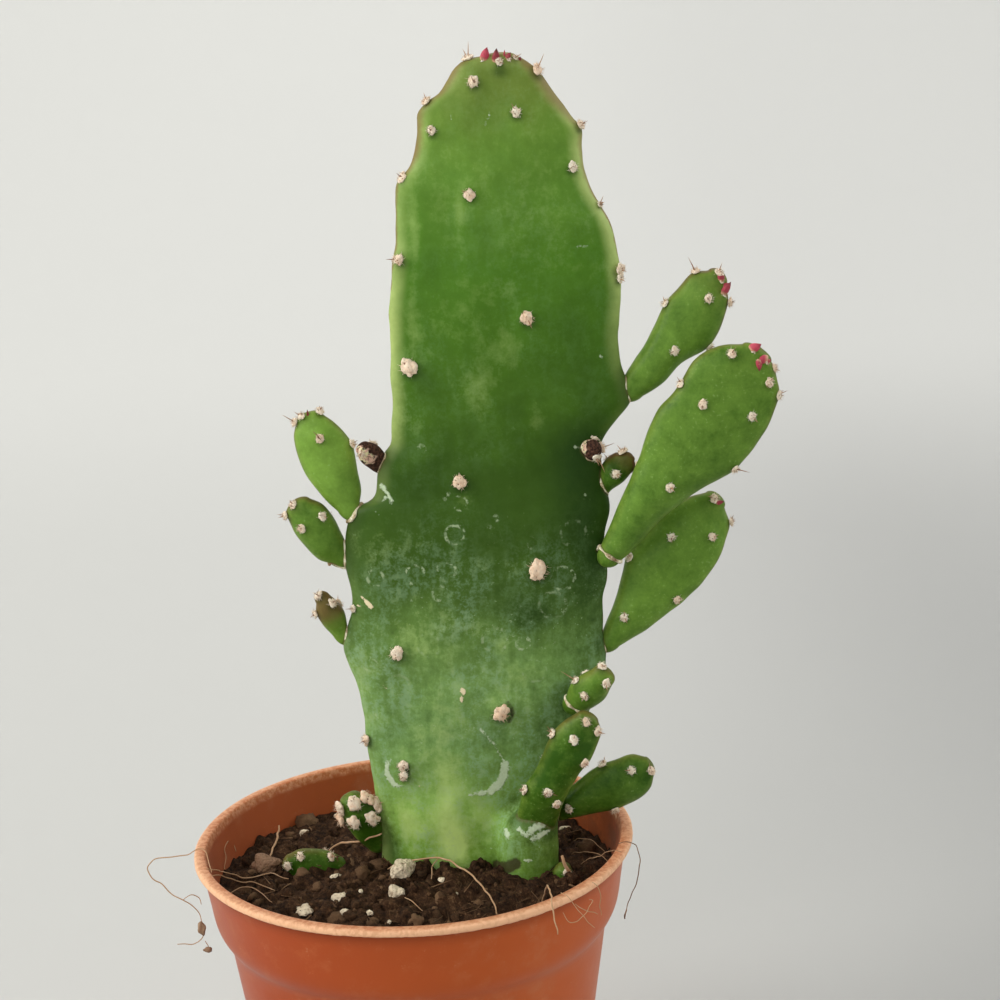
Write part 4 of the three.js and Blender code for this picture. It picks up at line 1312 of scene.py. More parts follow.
def add_bristles(shape, centre, axes, radius, random):
    count = int(random.integers(7, 12))
    local = random.normal(scale=0.3, size=(count, 3)) * [1, 1, 0] + [0, 0, 0.35]
    roots = centre + local * radius @ axes
    leaning = unit(random.normal(scale=0.42, size=(count, 3)) + [0, 0, 1]) @ axes
    lengths = BRISTLE_LENGTH * random.uniform(0.6, 1.4, count)
    bends = random.normal(scale=0.05, size=(count, 3))
    points, faces = strands(roots, leaning, lengths, np.full(count, BRISTLE_RADIUS), bends)
    shape.add(points, faces, OF_BRISTLE, tint=float(random.uniform(0, 0.7)), heart=0.0)


def add_spines(shape, centre, normal, random, long):
    count = 1 + int(random.random() < SECOND_SPINE_SHARE)
    directions = unit(normal + random.normal(scale=0.38, size=(count, 3)) + [0, 0, 0.12])
    lengths = SPINE_LENGTH * random.uniform(0.7, 1.1, count)
    if long:
        lengths[0] = LONG_SPINE_LENGTH
    bends = random.normal(scale=0.12, size=(count, 3))
    points, faces = strands(
        np.repeat(centre[None], count, axis=0), directions, lengths, np.full(count, SPINE_RADIUS), bends,
        sides=5, steps=4,
    )
    shape.add(points, faces, OF_BRISTLE, tint=float(random.uniform(0, 0.8)), heart=0.0)


def draw_leaf(shape, root, direction, across, length, radius, bend, tint):
    """A small fleshy pointed leaf, a little flat, widest below its middle"""
    along = np.linspace(0, 1, LEAF_RINGS)
    width = radius * 1.45 * (0.55 + 1.6 * along) * (1 - along) ** 1.1
    path = root + direction * (length * along)[:, None] + bend * (along**2)[:, None]
    upward = unit(np.cross(direction, across))
    spokes = spokes_between(across[None], 0.65 * upward[None], LEAF_SIDES)
    rings = path[:, None] + spokes * width[:, None, None]
    points = np.concatenate([rings[:-1].reshape(-1, 3), path[:1], path[-1:]])
    heart = np.concatenate([np.repeat(along[:-1], LEAF_SIDES), [0, 1]])
    shape.add(points, closed_faces(LEAF_RINGS - 1, LEAF_SIDES), OF_LEAF, tint=tint, heart=heart)


def add_leaves(shape, pad, leaves, random):
    """Small leaves near a young tip, with wool at their feet"""
    for s, across, reach_along, reach_across, bend_along, bend_across, radius, tint in leaves:
        point, normal = (part[0] for part in pad.spots(np.array([float(s)]), across))
        reach = pad.along * reach_along + pad.across * reach_across
        length = np.linalg.norm(reach)
        bend = pad.along * bend_along + pad.across * bend_across
        direction = unit(reach + 0.3 * length * normal)
        flat = unit(np.cross(direction, normal + random.normal(scale=0.3, size=3)))
        draw_leaf(shape, point - direction * 0.3, direction, flat, length, radius, bend, tint)
        if radius > 0.5:
            foot = point + normal * 0.15 + pad.across * random.normal(scale=0.3) - pad.along * 0.4
            upward = unit(normal + 0.4 * pad.along)
            grow_tuft(shape, foot, upward, LEAF_FOOT_TUFT, random, LEAF_FOOT_HAIRS)


def grow_on(pad, seed, leaves):
    """Everything that grows on a pad, as one piece"""
    random = np.random.default_rng(seed)
    shape = Shape()
    for centre, normal, size in pad.areoles:
        lifted = centre + normal * (0.45 * size)
        grow_tuft(shape, lifted, normal, size, random, TUFT_HAIRS)
        add_spines(shape, lifted, normal, random, random.random() < LONG_SPINE_SHARE)
    add_leaves(shape, pad, leaves, random)
    shape.piece(pad.name + "_areoles", [WOOL, BRISTLE, LEAF])


# Marks on the main pad's front

def segment_distance(points, start, end):
    span = np.array(end, float) - start
    share = np.clip(((points - start) @ span) / (span @ span), 0, 1)
    return np.linalg.norm(points - (start + share[:, None] * span), axis=1)


def scar_depth(flat, scars):
    """How far places lie within the scars; outside them it is less than nothing"""
    depth = np.full(len(flat), NO_SCAR)
    for half_width, path in scars:
        for start, end in zip(path, path[1:]):
            depth = np.maximum(depth, half_width - segment_distance(flat, np.array(start, float), end))
    return depth


def edge_amount(points, left, right):
    """An amount that changes with height, from one table on the left and another on the right"""
    at_left, at_right = (np.interp(points[:, 2], *zip(*table)) for table in (left, right))
    share = np.clip(points[:, 0] / RIGHT_SIDE_X, 0, 1)
    return at_left * (1 - share) + at_right * share


def lobe_marks(points, s):
    """The painted values of the lobe's skin, which has no edges of its own"""
    return {**front_marks(points, s), "edge_distance": NO_EDGE}


def young_marks(entry):
    """The painted values of a side pad's skin"""
    return lambda points, s: dict(tone=entry["tone"], blush=entry["blush"])


def peel_marks(pad, entry):
    """The painted values of a dry bud's skin"""
    place_along, place_across, reach_along, reach_across = entry["peel"]

    def paint(points, s):
        _, breadth, _ = pad.section(s)
        across = (points - pad.origin) @ pad.across / np.maximum(breadth, 0.1)
        lengthwise = (s / pad.length - place_along) / reach_along
        return dict(peel=bump_at(np.hypot(lengthwise, (across - place_across) / reach_across), 1))

    return paint


def front_marks(points, s):
    """The painted values of the main pad's skin"""
    flat = points[:, [0, 2]]
    front = points[:, 1] < MAIN_PLANE_Y
    ring_distance = np.full(len(points), NO_RING)
    ring_strength = np.zeros(len(points))
    for x, z, radius, strength in RING_SCARS:
        distance = np.abs(np.linalg.norm(flat - [x, z], axis=1) - radius)
        distance = np.where(front, distance, NO_RING)
        ring_strength = np.where(distance < ring_distance, strength, ring_strength)
        ring_distance = np.minimum(ring_distance, distance)
    white = scar_depth(flat, WHITE_SCARS)
    x, z, radius, half_width = SCALY_RING
    leftwards = np.clip((x - flat[:, 0] + (z - flat[:, 1]) * 0.4) / radius, -1, 1)
    scaly = np.abs(np.linalg.norm((flat - [x, z]) * [1.15, 0.9], axis=1) - radius)
    scaly = half_width * (0.1 + 1.2 * leftwards) - scaly
    tone = np.zeros(len(points))
    for x, z, reach_x, reach_z, amount in FRONT_TONES_AND_SHADE:
        tone += amount * bump_at(flat[:, 0] - x, reach_x) * bump_at(flat[:, 1] - z, reach_z)
    return dict(
        height=np.clip((points[:, 2] - MAIN_COLOURS_Z) / (MAIN_TIP_Z - MAIN_COLOURS_Z), 0, 1),
        glow=edge_amount(points, LEFT_YELLOW_AND_SHEEN, RIGHT_YELLOW_AND_SHEEN),
        rim_width=edge_amount(points, LEFT_RIM, RIGHT_RIM),
        tone=tone * np.where(front, 1.0, BACK_TONE),
        bloom=np.clip((POWDER_TOP_Z - points[:, 2]) / POWDER_FADE, POWDER_LEAST, 1),
        ring_distance=ring_distance,
        ring_strength=ring_strength,
        white_scar=np.where(front, np.maximum(white, scaly), NO_SCAR),
        tan_scar=np.where(front, scar_depth(flat, TAN_SCARS), NO_SCAR),
        dark_scar=np.where(front, scar_depth(flat, DARK_SCARS), NO_SCAR),
    )


def meet_lobe(lobe, points):
    """Lets the main pad's front swell smoothly into the left side of the lobe"""
    height = np.clip(points[:, 2], lobe.start, lobe.length - 0.05)
    middle, breadth, depth = lobe.section(height)
    across = (points[:, 0] - lobe.origin[0] - middle) / np.maximum(breadth, 0.5)
    outside = np.maximum(np.abs(across) - 1, 0) * 6 + np.maximum(points[:, 2] - lobe.length, 0) * 2
    front = lobe.origin[1] - depth * np.sqrt(np.clip(1 - across**2, 0, 1)) + outside
    share = np.clip(0.5 + 0.5 * (front - points[:, 1]) / LOBE_FILLET, 0, 1)
    met = front * (1 - share) + points[:, 1] * share - LOBE_FILLET * share * (1 - share)
    met = met + 0.35 * (1 - share) ** 2
    left = np.clip((0.3 - across) / 0.6, 0, 1) * (points[:, 1] < MAIN_PLANE_Y)
    moved = points.copy()
    moved[:, 1] += (met - points[:, 1]) * left * left * (3 - 2 * left)
    return moved


# Pot

def pot_profile():
    """The pot's closed outline as radius and height, fine enough to look round"""
    collar_foot, collar_radius = COLLAR[0]
    z = np.linspace(collar_foot, LIP_FOOT, COLLAR_ROWS)
    outer_collar = np.stack([smooth_value(COLLAR, 1, z), z], axis=1)
    body = np.linspace([BASE_RADIUS, 0], [collar_radius, collar_foot], BODY_ROWS)
    body[0] += [-0.5, 0]
    body = np.insert(body, 1, [BASE_RADIUS, 0.5], axis=0)
    lip = [
        (RIM_RADIUS - 0.55, LIP_FOOT + 0.02), (RIM_RADIUS - 0.2, LIP_FOOT + 0.12),
        (RIM_RADIUS, LIP_FOOT + 0.4), (RIM_RADIUS - 0.02, POT_HEIGHT - 0.35),
        (RIM_RADIUS - 0.2, POT_HEIGHT - 0.1), (RIM_RADIUS - 0.5, POT_HEIGHT),
        (RIM_RADIUS - LIP_WIDTH + 0.35, POT_HEIGHT), (RIM_RADIUS - LIP_WIDTH + 0.08, POT_HEIGHT - 0.12),
        (RIM_RADIUS - LIP_WIDTH, POT_HEIGHT - 0.5),
    ]
    inner_collar = (outer_collar - [WALL, 0])[::-1]
    inner_foot = (BASE_RADIUS - WALL + POT_DRAFT * FLOOR, FLOOR)
    inner_body = np.linspace(inner_collar[-1], inner_foot, INNER_ROWS)
    outer = np.concatenate([body, outer_collar[1:], lip])
    inner = np.concatenate([inner_collar, inner_body[1:]])
    return outer, inner


def turned(profile, segments):
    """Points of a profile turned round the pot's axis"""
    angles = round_angles(segments)
    radius = profile[:, 0, None]
    height = np.broadcast_to(profile[:, 1, None], (len(profile), segments))
    return np.stack([radius * np.cos(angles), radius * np.sin(angles), height], axis=-1).reshape(-1, 3)


def draw_pot():
    outer, inner = pot_profile()
    profile = np.concatenate([outer, inner])
    points = turned(profile, POT_SEGMENTS)
    at_lip = points[:, 2] > LIP_FOOT - 0.01
    radial = unit(points * [1, 1, 0])
    upright = points * [1, 1, 0.3]
    ragged = np.abs(ripples(upright, 1.6, 8)) + 0.6 * np.abs(ripples(upright, 0.7, 9))
    low_edge = bump_at(points[:, 2] - LIP_FOOT, 0.35) * at_lip
    points = points + radial * (LIP_RAGGED * (ragged - 0.9) * low_edge)[:, None]
    points[:, 2] += LIP_RAGGED_LOW * (ragged - 0.9) * low_edge
    points = points + radial * (POT_UNEVEN * ripples(points, 30, 12))[:, None] * (points[:, 2:] > 5)
    points = np.concatenate([points, [[0, 0, 0], [0, 0, FLOOR]]])
    rim = np.repeat(np.arange(len(profile)) >= len(outer), POT_SEGMENTS)
    rim = np.concatenate([rim, [False, True]])
    smears = [
        bump_at(np.linalg.norm((points - place) * squeeze, axis=1), reach)
        for place, squeeze, reach in SMEARS
    ]
    below = LIP_FOOT - points[:, 2]
    shape = Shape()
    shape.add(
        points, closed_faces(len(profile), POT_SEGMENTS, inward=True),
        lip=np.clip((0.15 - below) / 0.3, 0, 1),
        lip_edge=np.clip(1 - (RIM_RADIUS - np.hypot(points[:, 0], points[:, 1])) / 0.9, 0, 1),
        lip_shade=np.clip(1 - below / 3, 0, 1) * (below > 0) * ~rim,
        smear=np.max(smears, axis=0),
        inside=rim * 1.0,
    )
    pot = shape.piece("pot_shell", [POT_PLASTIC], "pot", "pot_plastic")
    cut_drain_holes(pot)


def cut_drain_holes(pot):
    """Cuts the drain holes through the pot's floor"""
    form = bmesh.new()
    for number in range(DRAIN_HOLES):
        angle = 2 * math.pi * (number + 0.5) / DRAIN_HOLES
        place = (DRAIN_CIRCLE * MM * math.cos(angle), DRAIN_CIRCLE * MM * math.sin(angle), 0)
        bmesh.ops.create_cone(
            form, cap_ends=True, segments=32, radius1=DRAIN_RADIUS * MM, radius2=DRAIN_RADIUS * MM,
            depth=8 * FLOOR * MM, matrix=Matrix.Translation(place),
        )
    mesh = bpy.data.meshes.new("drain_cutters")
    form.to_mesh(mesh)
    form.free()
    cutters = add_object("drain_cutters", mesh)
    cut = pot.modifiers.new("drain_holes", "BOOLEAN")
    cut.operation = "DIFFERENCE"
    cut.solver = "EXACT"
    cut.object = cutters
    bpy.context.view_layer.update()
    drilled = bpy.data.meshes.new_from_object(pot.evaluated_get(bpy.context.evaluated_depsgraph_get()))
    pot.modifiers.clear()
    pot.data = drilled
    pot.data.name = "pot_shell"
    bpy.data.objects.remove(cutters)


# Soil

def soil_height(x, y):
    """The soil's surface: level at the wall, mounded round the stem, and lumpy"""
    from_stem = np.hypot(x - STEM_CENTRE[0], y - STEM_CENTRE[1])
    from_wall = np.clip((SOIL_RADIUS - np.hypot(x, y)) / 6, 0, 1)
    lumps = np.sin(0.55 * x + 1.3) * np.cos(0.63 * y) + 0.7 * np.sin(1.1 * x - 0.9 * y)
    return SOIL_LEVEL + MOUND_HEIGHT * bump_at(from_stem, MOUND_SPREAD) + CLUMP_HEIGHT * lumps * from_wall


def crumbly(points):
    """Fine relief of the soil between its crumbs"""
    flat = points * [1, 1, 0]
    coarse = np.abs(ripples(flat, 5.5, 21)) + 0.7 * np.abs(ripples(flat, 2.8, 22))
    fine = np.abs(ripples(flat, 1.4, 23, 20)) + 0.5 * np.abs(ripples(flat, 0.8, 24, 20))
    return 0.75 * (coarse - 0.9) + 0.3 * (fine - 0.7)


def draw_soil():
    """The bed of soil, closed down the pot's wall and underneath"""
    wall = smooth_value(COLLAR, 1, np.array([float(SOIL_LEVEL)]))[0] - WALL - SOIL_WALL_GAP
    radii = np.linspace(wall, SOIL_INNER_RING, SOIL_RINGS)
    angles = round_angles(SOIL_SEGMENTS)
    x = (radii[:, None] * np.cos(angles)).ravel()
    y = (radii[:, None] * np.sin(angles)).ravel()
    top = np.stack([x, y, soil_height(x, y)], axis=1)
    top[:, 2] += crumbly(top)
    _, inner = pot_profile()
    side = inner[inner[:, 1] < SOIL_LEVEL - 2][::-1] - [SOIL_WALL_GAP, 0]
    side[0, 1] += SOIL_WALL_GAP
    centres = [[0, 0, side[0, 1]], [0, 0, soil_height(0, 0)]]
    points = np.concatenate([turned(side, SOIL_SEGMENTS), top, centres])
    shape = Shape()
    shape.add(points, closed_faces(len(side) + SOIL_RINGS, SOIL_SEGMENTS, inward=True), tint=0.0)
    shape.piece("soil_bed", [POTTING_MIX], "soil", "potting_mix")


def soil_places(count, random):
    """Random places on the soil, a little clear of the pot's wall"""
    radius = (SOIL_RADIUS - 1) * np.sqrt(random.random(count))
    angle = random.uniform(0, 2 * math.pi, count)
    x, y = radius * np.cos(angle), radius * np.sin(angle)
    points = np.stack([x, y, soil_height(x, y)], axis=1)
    points[:, 2] += crumbly(points)
    return points


def random_frames(count, random, scale):
    """Turned frames that also scale what they turn"""
    first = unit(random.normal(size=(count, 3)))
    second = unit(np.cross(first, random.normal(size=(count, 3))))
    frames = np.stack([first, second, np.cross(first, second)], axis=1)
    return frames * scale[:, :, None]


# Crumbs: how many, smallest and largest size, and how finely their balls are drawn
SOIL_CRUMBS = [(60, 1.1, 2.2, 3), (420, 0.55, 1.3, 2), (900, 0.25, 0.6, 1)]

# Short fibres between the crumbs: how many, and how finely they are drawn
SOIL_THREADS = 130
THREAD_SIDES = 4
THREAD_STEPS = 5


def draw_crumbs():
    """Loose crumbs, bark chips and short fibres on the soil"""
    random = np.random.default_rng(CRUMB_SEED)
    shape = Shape()
    for count, smallest, largest, detail in SOIL_CRUMBS:
        places = soil_places(count, random)
        sizes = random.uniform(smallest, largest, count)
        places[:, 2] -= 0.25 * sizes
        stretch = sizes[:, None] * random.uniform(0.65, 1.2, (count, 3))
        ball_points, ball_faces = ball(detail)
        points, faces = copies(ball_points, ball_faces, random_frames(count, random, stretch), places)
        each = np.repeat(places, len(ball_points), axis=0)
        size_each = np.repeat(sizes, len(ball_points))
        uneven = 0.3 * ripples(points, 1.5, 51) + 0.14 * ripples(points, 0.6, 52)
        points = points + unit(points - each) * (uneven * 0.8 * np.minimum(size_each, 1.2))[:, None]
        tint = np.repeat(random.uniform(0, 1, count) ** 5 * 0.6, len(ball_points))
        shape.add(points, [faces], tint=tint)
    draw_threads(shape, SOIL_THREADS, random)
    shape.piece("soil_crumbs", [POTTING_MIX], slot="potting_mix")


def draw_threads(shape, count, random):
    """Short fibres that lie on the soil"""
    places = soil_places(count, random)
    directions = unit(random.normal(size=(count, 3)) * [1, 1, 0.25])
    lengths = random.uniform(2, 6.5, count)
    bends = random.normal(scale=0.7, size=(count, 3)) * [1, 1, 0.3]
    roots = places - directions * lengths[:, None] / 2 + [0, 0, 0.35]
    radii = random.uniform(0.08, 0.22, count)
    points, faces = strands(roots, directions, lengths, radii, bends, THREAD_SIDES, THREAD_STEPS)
    tint = np.repeat(random.uniform(0.1, 0.9, count), THREAD_SIDES * THREAD_STEPS + 2)
    shape.add(points, faces, tint=tint)


# Place on the soil, size, flatness and how tan the grain is
PERLITE_GRAINS = [
    (-2.6, -2.2, 2.5, 0.8, 0.2), (-14.4, -9.1, 1.9, 0.8, 0.2), (-3.4, -11, 1.7, 0.85, 0.22),
    (5.3, -6.5, 0.75, 0.7, 0.0), (7.3, -12, 0.8, 0.6, 0.25), (-12.8, -17.4, 0.8, 0.7, 0.1),
    (-8.1, -18.2, 0.6, 0.9, 0.0), (-4.4, -21.1, 0.5, 0.8, 0.0), (-20.8, -13.7, 2.1, 0.3, 0.2),
    (-15.9, 0.1, 1.1, 0.6, 0.1), (-10.4, -8.6, 0.5, 0.8, 0.1), (-30.2, 4.5, 2.6, 0.75, 0.95),
    (16, 24, 1.3, 0.8, 0.2), (-8, 27, 1.6, 0.8, 0.3), (30, 17, 1.1, 0.8, 0.1), (3, 31, 0.8, 0.8, 0.1),
    (-24, 20, 0.9, 0.8, 0.2), (24, 28, 1.5, 0.7, 0.3), (-18, 31, 0.7, 0.8, 0.0), (33, -8, 0.9, 0.8, 0.2),
]


def draw_perlite():
    random = np.random.default_rng(PERLITE_SEED)
    shape = Shape()
    for x, y, size, flatness, tan in PERLITE_GRAINS:
        points, faces = ball(4 if size > 1.5 else 3)
        angle = random.uniform(0, math.pi)
        turn = np.array([
            [math.cos(angle), math.sin(angle), 0], [-math.sin(angle), math.cos(angle), 0], [0, 0, 1],
        ])
        seed = int(random.integers(1000))
        lumps = 1 + 0.16 * ripples(points, 1.3, seed) + 0.05 * ripples(points, 0.4, seed + 1)
        form = points * lumps[:, None] * [1.15, 0.85, flatness] * size @ turn
        ground = soil_height(x, y) + crumbly(np.array([[x, y, 0]]))[0]
        shape.add(form + [x, y, ground + 0.3 * size * flatness], [faces], tint=tan)
    shape.piece("perlite_grains", [PERLITE])


# Root fibres: radius, colour from tan to dark, and the points they pass through
ROOT_FIBRES = [
    (0.24, 0.1, [(-5.7, 1, 67.1), (-3.1, -0.5, 68.9), (0.5, -1.2, 69.9), (4.4, -2, 70.4),
                 (6.8, -4, 70.4), (9.3, -7, 70.1), (11.6, -10.5, 69.7), (13.7, -14, 68.6),
                 (15.2, -18, 67.6), (15.6, -19.5, 66)]),
    (0.16, 0.3, [(4.4, -2, 70.4), (3.4, -4, 69.4), (2.9, -6, 67.5)]),
    (0.2, 0.05, [(23.9, -18.5, 67), (24.4, -21, 70.5), (25.1, -27, 75.2), (25.4, -33.5, 76.1),
                 (25.7, -35.2, 75.5), (25.9, -35.4, 73.4), (26.2, -35.6, 71.2), (26.4, -34.9, 69.6)]),
    (0.12, 0.4, [(32.3, -0.2, 67), (33.6, -2.4, 69), (35.5, -6.8, 71.5), (37.4, -10.4, 74),
                 (39.3, -14.2, 75.5)]),
    (0.12, 0.15, [(33.1, -27, 75.5), (34.1, -26.8, 74.4), (34.6, -26.4, 72.6), (34.6, -25.8, 70.4),
                  (34.6, -25, 68)]),
    (0.13, 0.85, [(38.9, -11, 75.6), (40.6, -10.2, 75.6), (42.4, -9, 74.4), (43.2, -8.6, 71.8),
                  (43, -8.8, 69.2), (42.2, -9.4, 66.6), (41.1, -10.2, 64.2), (40.3, -10.6, 62.2),
                  (40.1, -10.4, 60.4)]),
    (0.2, 0.9, [(40.3, -10.6, 62.2), (40.05, -10.6, 61), (40, -10.4, 59.9)]),
    (0.15, 0.2, [(-37.5, -14.2, 74.6), (-39, -9, 75.5), (-41.1, -4.4, 75.4), (-43.6, -4.6, 74.4),
                 (-46.6, -5.4, 74.4), (-50, -6, 74.1), (-51.2, -6, 72.9), (-50.4, -6.4, 70.8),
                 (-48.4, -7, 69.1), (-46.6, -7.5, 67.6), (-44.6, -8, 66.4), (-43, -8, 65.4),
                 (-41.9, -8, 63.9), (-41.5, -8, 62)]),
    (0.13, 0.3, [(-41.3, -8, 60), (-41.5, -8, 58.6), (-42.8, -8, 57.5), (-44.4, -8, 57.1),
                 (-46.3, -8, 57.3)]),
    (0.12, 0.25, [(-44.6, -8, 66.4), (-43, -7.6, 67.6), (-41.8, -7.4, 66.8), (-41.2, -7.8, 65.2)]),
    (0.11, 0.4, [(-41.2, -8, 57.9), (-40.7, -8, 57), (-40.5, -8, 56.2)]),
    (0.3, 0.25, [(-6.6, 2.2, 74.2), (-10.6, 5.6, 71.4), (-14.2, 9.5, 69.4), (-17, 12, 67.8),
                 (-18.6, 12.8, 66)]),
    (0.3, 0.2, [(-29.2, 21.6, 68.4), (-29.2, 17.5, 68), (-29.6, 13, 67.4), (-30.2, 8, 66.8)]),
    (0.16, 0.15, [(-38.7, -13.4, 75.2), (-37.2, -11.4, 74), (-35.4, -5.8, 70.4), (-32.6, -2.8, 68.2),
                  (-28.8, 0.6, 67.4), (-25, -1, 66.8)]),
    (0.14, 0.15, [(-37.6, -17, 75.1), (-36.4, -11.5, 72.8), (-34.2, -6.6, 69.4), (-31, -4.4, 67.8),
                  (-27, -6.5, 67)]),
    (0.12, 0.25, [(-38.2, 4, 67.2), (-38.4, 7, 69.4), (-38.2, 10, 70.6), (-37.6, 12, 69.4),
                  (-37, 11.6, 67.4)]),
    (0.12, 0.3, [(-36, -12, 68.4), (-33, -9, 69.2), (-30, -9.5, 68.6), (-27, -12, 67.2)]),
    (0.5, 0.1, [(28.4, -5.6, 71.4), (28.8, -5.9, 70.2), (29.6, -5.8, 68.4), (30.2, -5.2, 66.4)]),
    (0.1, 0.1, [(27.4, -31.6, 76), (28.6, -32.6, 75.6), (30.2, -32.2, 72.6), (31.9, -31, 69.9),
                (33.2, -29.6, 68)]),
    (0.1, 0.1, [(27.4, -34.4, 73.2), (28.8, -33.8, 71.2), (30.6, -32.2, 71), (32.2, -30.8, 72.2),
                (33, -29.7, 73.2), (32.4, -30.4, 73.8)]),
    (0.1, 0.2, [(29.8, -32.6, 74), (31.2, -31.4, 72.2), (32.6, -30, 71.2), (33.8, -28.6, 70)]),
    (0.13, 0.1, [(-3.4, -11, 67.6), (-1.4, -13.4, 67.6), (0.4, -15.6, 67.2), (2, -17.5, 66.4)]),
    (0.1, 0.4, [(31.5, 10, 67.6), (32.6, 6.5, 69.4), (35.2, 4, 69.8), (37, 1.5, 68.6)]),
    (0.1, 0.3, [(30.6, 5.2, 67), (33, 1, 69), (36, -1.6, 69.4), (37.8, -3.4, 68.4)]),
]

# How thick the fibres are against the radii above, and how finely they are drawn
FIBRE_SHARE = 0.75
FIBRE_SIDES = 6
PATH_STEPS = 6

# Bark flakes on the left thread: place and size
BARK_FLAKES = [((-41.5, -8, 60.6), (0.75, 0.4, 1.25)), ((-40.5, -8, 56), (0.75, 0.45, 0.5))]


def draw_fibres():
    """Roots and threads on the soil, over the rim and down the pot"""
    random = np.random.default_rng(FIBRE_SEED)
    shape = Shape()
    for radius, tint, places in ROOT_FIBRES:
        path = smooth_path(places)
        sway = [ripples(path, 3.2, FIBRE_SWAY_SEED + axis) for axis in range(3)]
        path = path + 0.12 * np.stack(sway, axis=1)
        taper = 0.65 + 0.35 * np.sin(np.linspace(0.3, math.pi - 0.2, len(path)))
        points, faces = tube(path, FIBRE_SHARE * radius * taper, FIBRE_SIDES)
        shape.add(points, faces, tint=tint)
    for place, size in BARK_FLAKES:
        points, faces = ball(3)
        lumps = 1 + 0.25 * ripples(points, 1.1, int(random.integers(1000)))
        shape.add(points * lumps[:, None] * size + place, [faces], tint=0.95)
    shape.piece("root_fibres", [ROOT_FIBRE])


# Stage, light and camera

# The studio's floor, the radius of its bend, the height of its wall and the points round it
STAGE_RADIUS = 560
STAGE_BEND = 1250
STAGE_TOP = 2600
STAGE_SEGMENTS = 160

# Paint of the studio with painted shade in it, near and low or far and high, each on the left and on the
# right
STAGE_LOW = [(0.605, 0.605, 0.583), (0.395, 0.395, 0.385)]
STAGE_HIGH = [(0.69, 0.69, 0.666), (0.64, 0.64, 0.62)]


def draw_stage():
    """A pale floor that curves up into a round wall"""
    turn = np.linspace(0, math.pi / 2, 40)
    bend = np.stack([STAGE_RADIUS + STAGE_BEND * np.sin(turn), STAGE_BEND * (1 - np.cos(turn))], axis=1)
    level = [[1, 0], [0.5 * STAGE_RADIUS, 0]]
    profile = np.concatenate([level, bend, [[STAGE_RADIUS + STAGE_BEND, STAGE_TOP]]])
    points = np.concatenate([turned(profile, STAGE_SEGMENTS), [[0, 0, 0]]])
    rows = len(profile)
    centre = fan_faces(0, STAGE_SEGMENTS, rows * STAGE_SEGMENTS, False)
    shape = Shape()
    shape.add(points, [ring_faces(rows, STAGE_SEGMENTS), centre])
    mesh = shape.mesh("studio_floor")
    mesh.materials.append(STUDIO.material)
    floor = add_object("studio_floor", mesh)


def studio_paint():
    """Pale matt paint with painted shade, darkest on the floor to the right"""
    paint = Finish("studio_paint", Specular_IOR_Level=0.0)
    cloud = paint.noise(700, 2)
    rise = (paint.place_along("Z") + paint.place_along("Y") * 0.1).above(0, 0.137)
    left, right = (paint.mix(rise, low, high) for low, high in zip(STAGE_LOW, STAGE_HIGH))
    rightwards = paint.place_along("X") + (cloud - 0.5) * 0.06
    shade = paint.mix(rightwards.above(-0.03, 0.24), left, right)
    paint.coat(shade, 0.9 + cloud * 0.05, cloud, 0.01)
    return paint


# Lights in metres and watts: name, place, what they point at, width, power and colour
PLANT_MIDDLE = (0.02, 0, 0.13)
LIGHTS = [
    ("window_light", (-1.25, -0.35, 0.95), PLANT_MIDDLE, 0.9, 15, (1.0, 0.985, 0.955)),
    ("right_light", (1.15, 0.1, 0.75), PLANT_MIDDLE, 0.8, 6.2, (0.97, 0.985, 1.0)),
    ("front_light", (-0.3, -1.3, 1.1), PLANT_MIDDLE, 0.9, 5.2, (1.0, 0.99, 0.97)),
    ("wall_light", (0.0, 0.9, 1.5), (0.0, 1.3, 0), 0.9, 8.6, (1.0, 1.0, 1.0)),
]
AIR_COLOUR = (0.95, 0.96, 0.97, 1)
AIR_STRENGTH = 0.25


def add_light(name, place, target, width, power, colour):
    light = bpy.data.lights.new(name, "AREA")
    light.size = width
    light.energy = power
    light.color = colour
    lamp = add_object(name, light)
    lamp.location = place
    lamp.rotation_mode = "QUATERNION"
    lamp.rotation_quaternion = (Vector(place) - Vector(target)).to_track_quat("Z", "Y")
    lamp.visible_camera = False


def light_studio():
    for light in LIGHTS:
        add_light(*light)
    world = bpy.data.worlds.new("studio_air")
    world.use_nodes = True
    background = world.node_tree.nodes["Background"]
    background.inputs["Color"].default_value = AIR_COLOUR
    background.inputs["Strength"].default_value = AIR_STRENGTH
    bpy.context.scene.world = world
    bpy.context.scene.view_settings.view_transform = "Standard"


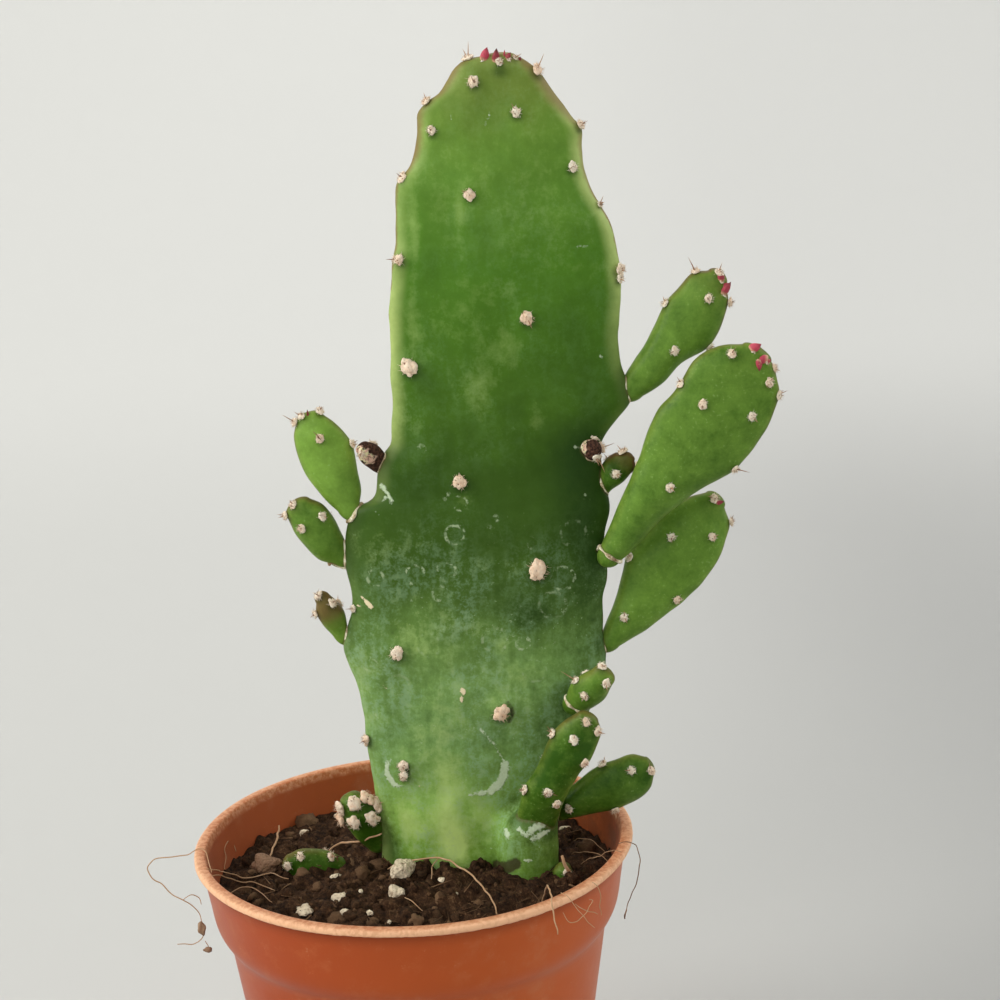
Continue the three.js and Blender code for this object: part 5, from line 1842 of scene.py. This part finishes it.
def set_camera():
    pitch = math.radians(CAMERA_PITCH)
    roll = math.radians(CAMERA_ROLL)
    forward = np.array([0, math.cos(pitch), -math.sin(pitch)])
    right = np.array([1.0, 0, 0])
    up = np.cross(right, forward)
    turned_right = math.cos(roll) * right - math.sin(roll) * up
    turned_up = math.cos(roll) * up + math.sin(roll) * right
    camera_data = bpy.data.cameras.new("camera")
    camera_data.lens = CAMERA_LENS
    camera_data.sensor_width = SENSOR_WIDTH
    camera_data.clip_start = 0.01
    camera = add_object("camera", camera_data)
    place = np.eye(4)
    place[:3] = np.stack([turned_right, turned_up, -forward, np.array(CAMERA_PLACE) * MM], axis=1)
    camera.matrix_world = Matrix(place.tolist())
    bpy.context.scene.camera = camera


set_camera()
light_studio()

WOOL = wool()
BRISTLE = bristle()
LEAF = young_leaf()
CORK = cork()
MAIN_SKIN = main_skin()
YOUNG_SKIN = young_skin()
DRY_SKIN = dry_skin()
POT_PLASTIC = pot_plastic()
POTTING_MIX = potting_mix()
PERLITE = perlite()
ROOT_FIBRE = root_fibre()
STUDIO = studio_paint()


def draw_joint_rims(pads, main, lobe):
    """Marks where the side pads leave their hosts, with corky rims where they show"""
    rims = Shape()
    for number, pad in enumerate(pads):
        line, angles = joint_line(pad, [main, lobe])
        pad.rim_points = pad.skin(line, angles)[::3]
        if pad.name in JOINT_RIMS:
            draw_rim(rims, pad, line, angles, JOINT_RIMS[pad.name], JOINT_RIM_SEED + number)
            main.rim_points = np.concatenate([main.rim_points, pad.rim_points])
        if pad.name in LOBE_PADS:
            lobe.rim_points = np.concatenate([lobe.rim_points, pad.rim_points])
    rims.piece("joint_rims", [CORK])


def draw_plant():
    main = main_pad()
    lobe = foot_lobe()
    entries = SIDE_PADS + DRY_BUDS
    pads = [side_pad(entry) for entry in entries]
    draw_joint_rims(pads, main, lobe)
    body = Shape()
    main.draw_skin(body, MAIN_SKIN_GRID, front_marks, lambda points: meet_lobe(lobe, points))
    lobe.draw_skin(body, LOBE_SKIN_GRID, lobe_marks)
    body.piece("pad_main_skin", [MAIN_SKIN], "pad_main", "main_skin")
    grow_on(main, MAIN_SEED, MAIN_TIP_LEAVES)
    for number, (entry, pad) in enumerate(zip(entries, pads)):
        dry = entry in DRY_BUDS
        shape = Shape()
        pad.draw_skin(shape, SIDE_SKIN_GRID, peel_marks(pad, entry) if dry else young_marks(entry))
        finish, slot = (DRY_SKIN, "dry_skin") if dry else (YOUNG_SKIN, "young_skin")
        shape.piece(pad.name + "_skin", [finish], pad.name, slot)
        grow_on(pad, SIDE_PAD_SEED + number, entry["leaves"])


draw_plant()
draw_pot()
draw_soil()
draw_crumbs()
draw_perlite()
draw_fibres()
draw_stage()
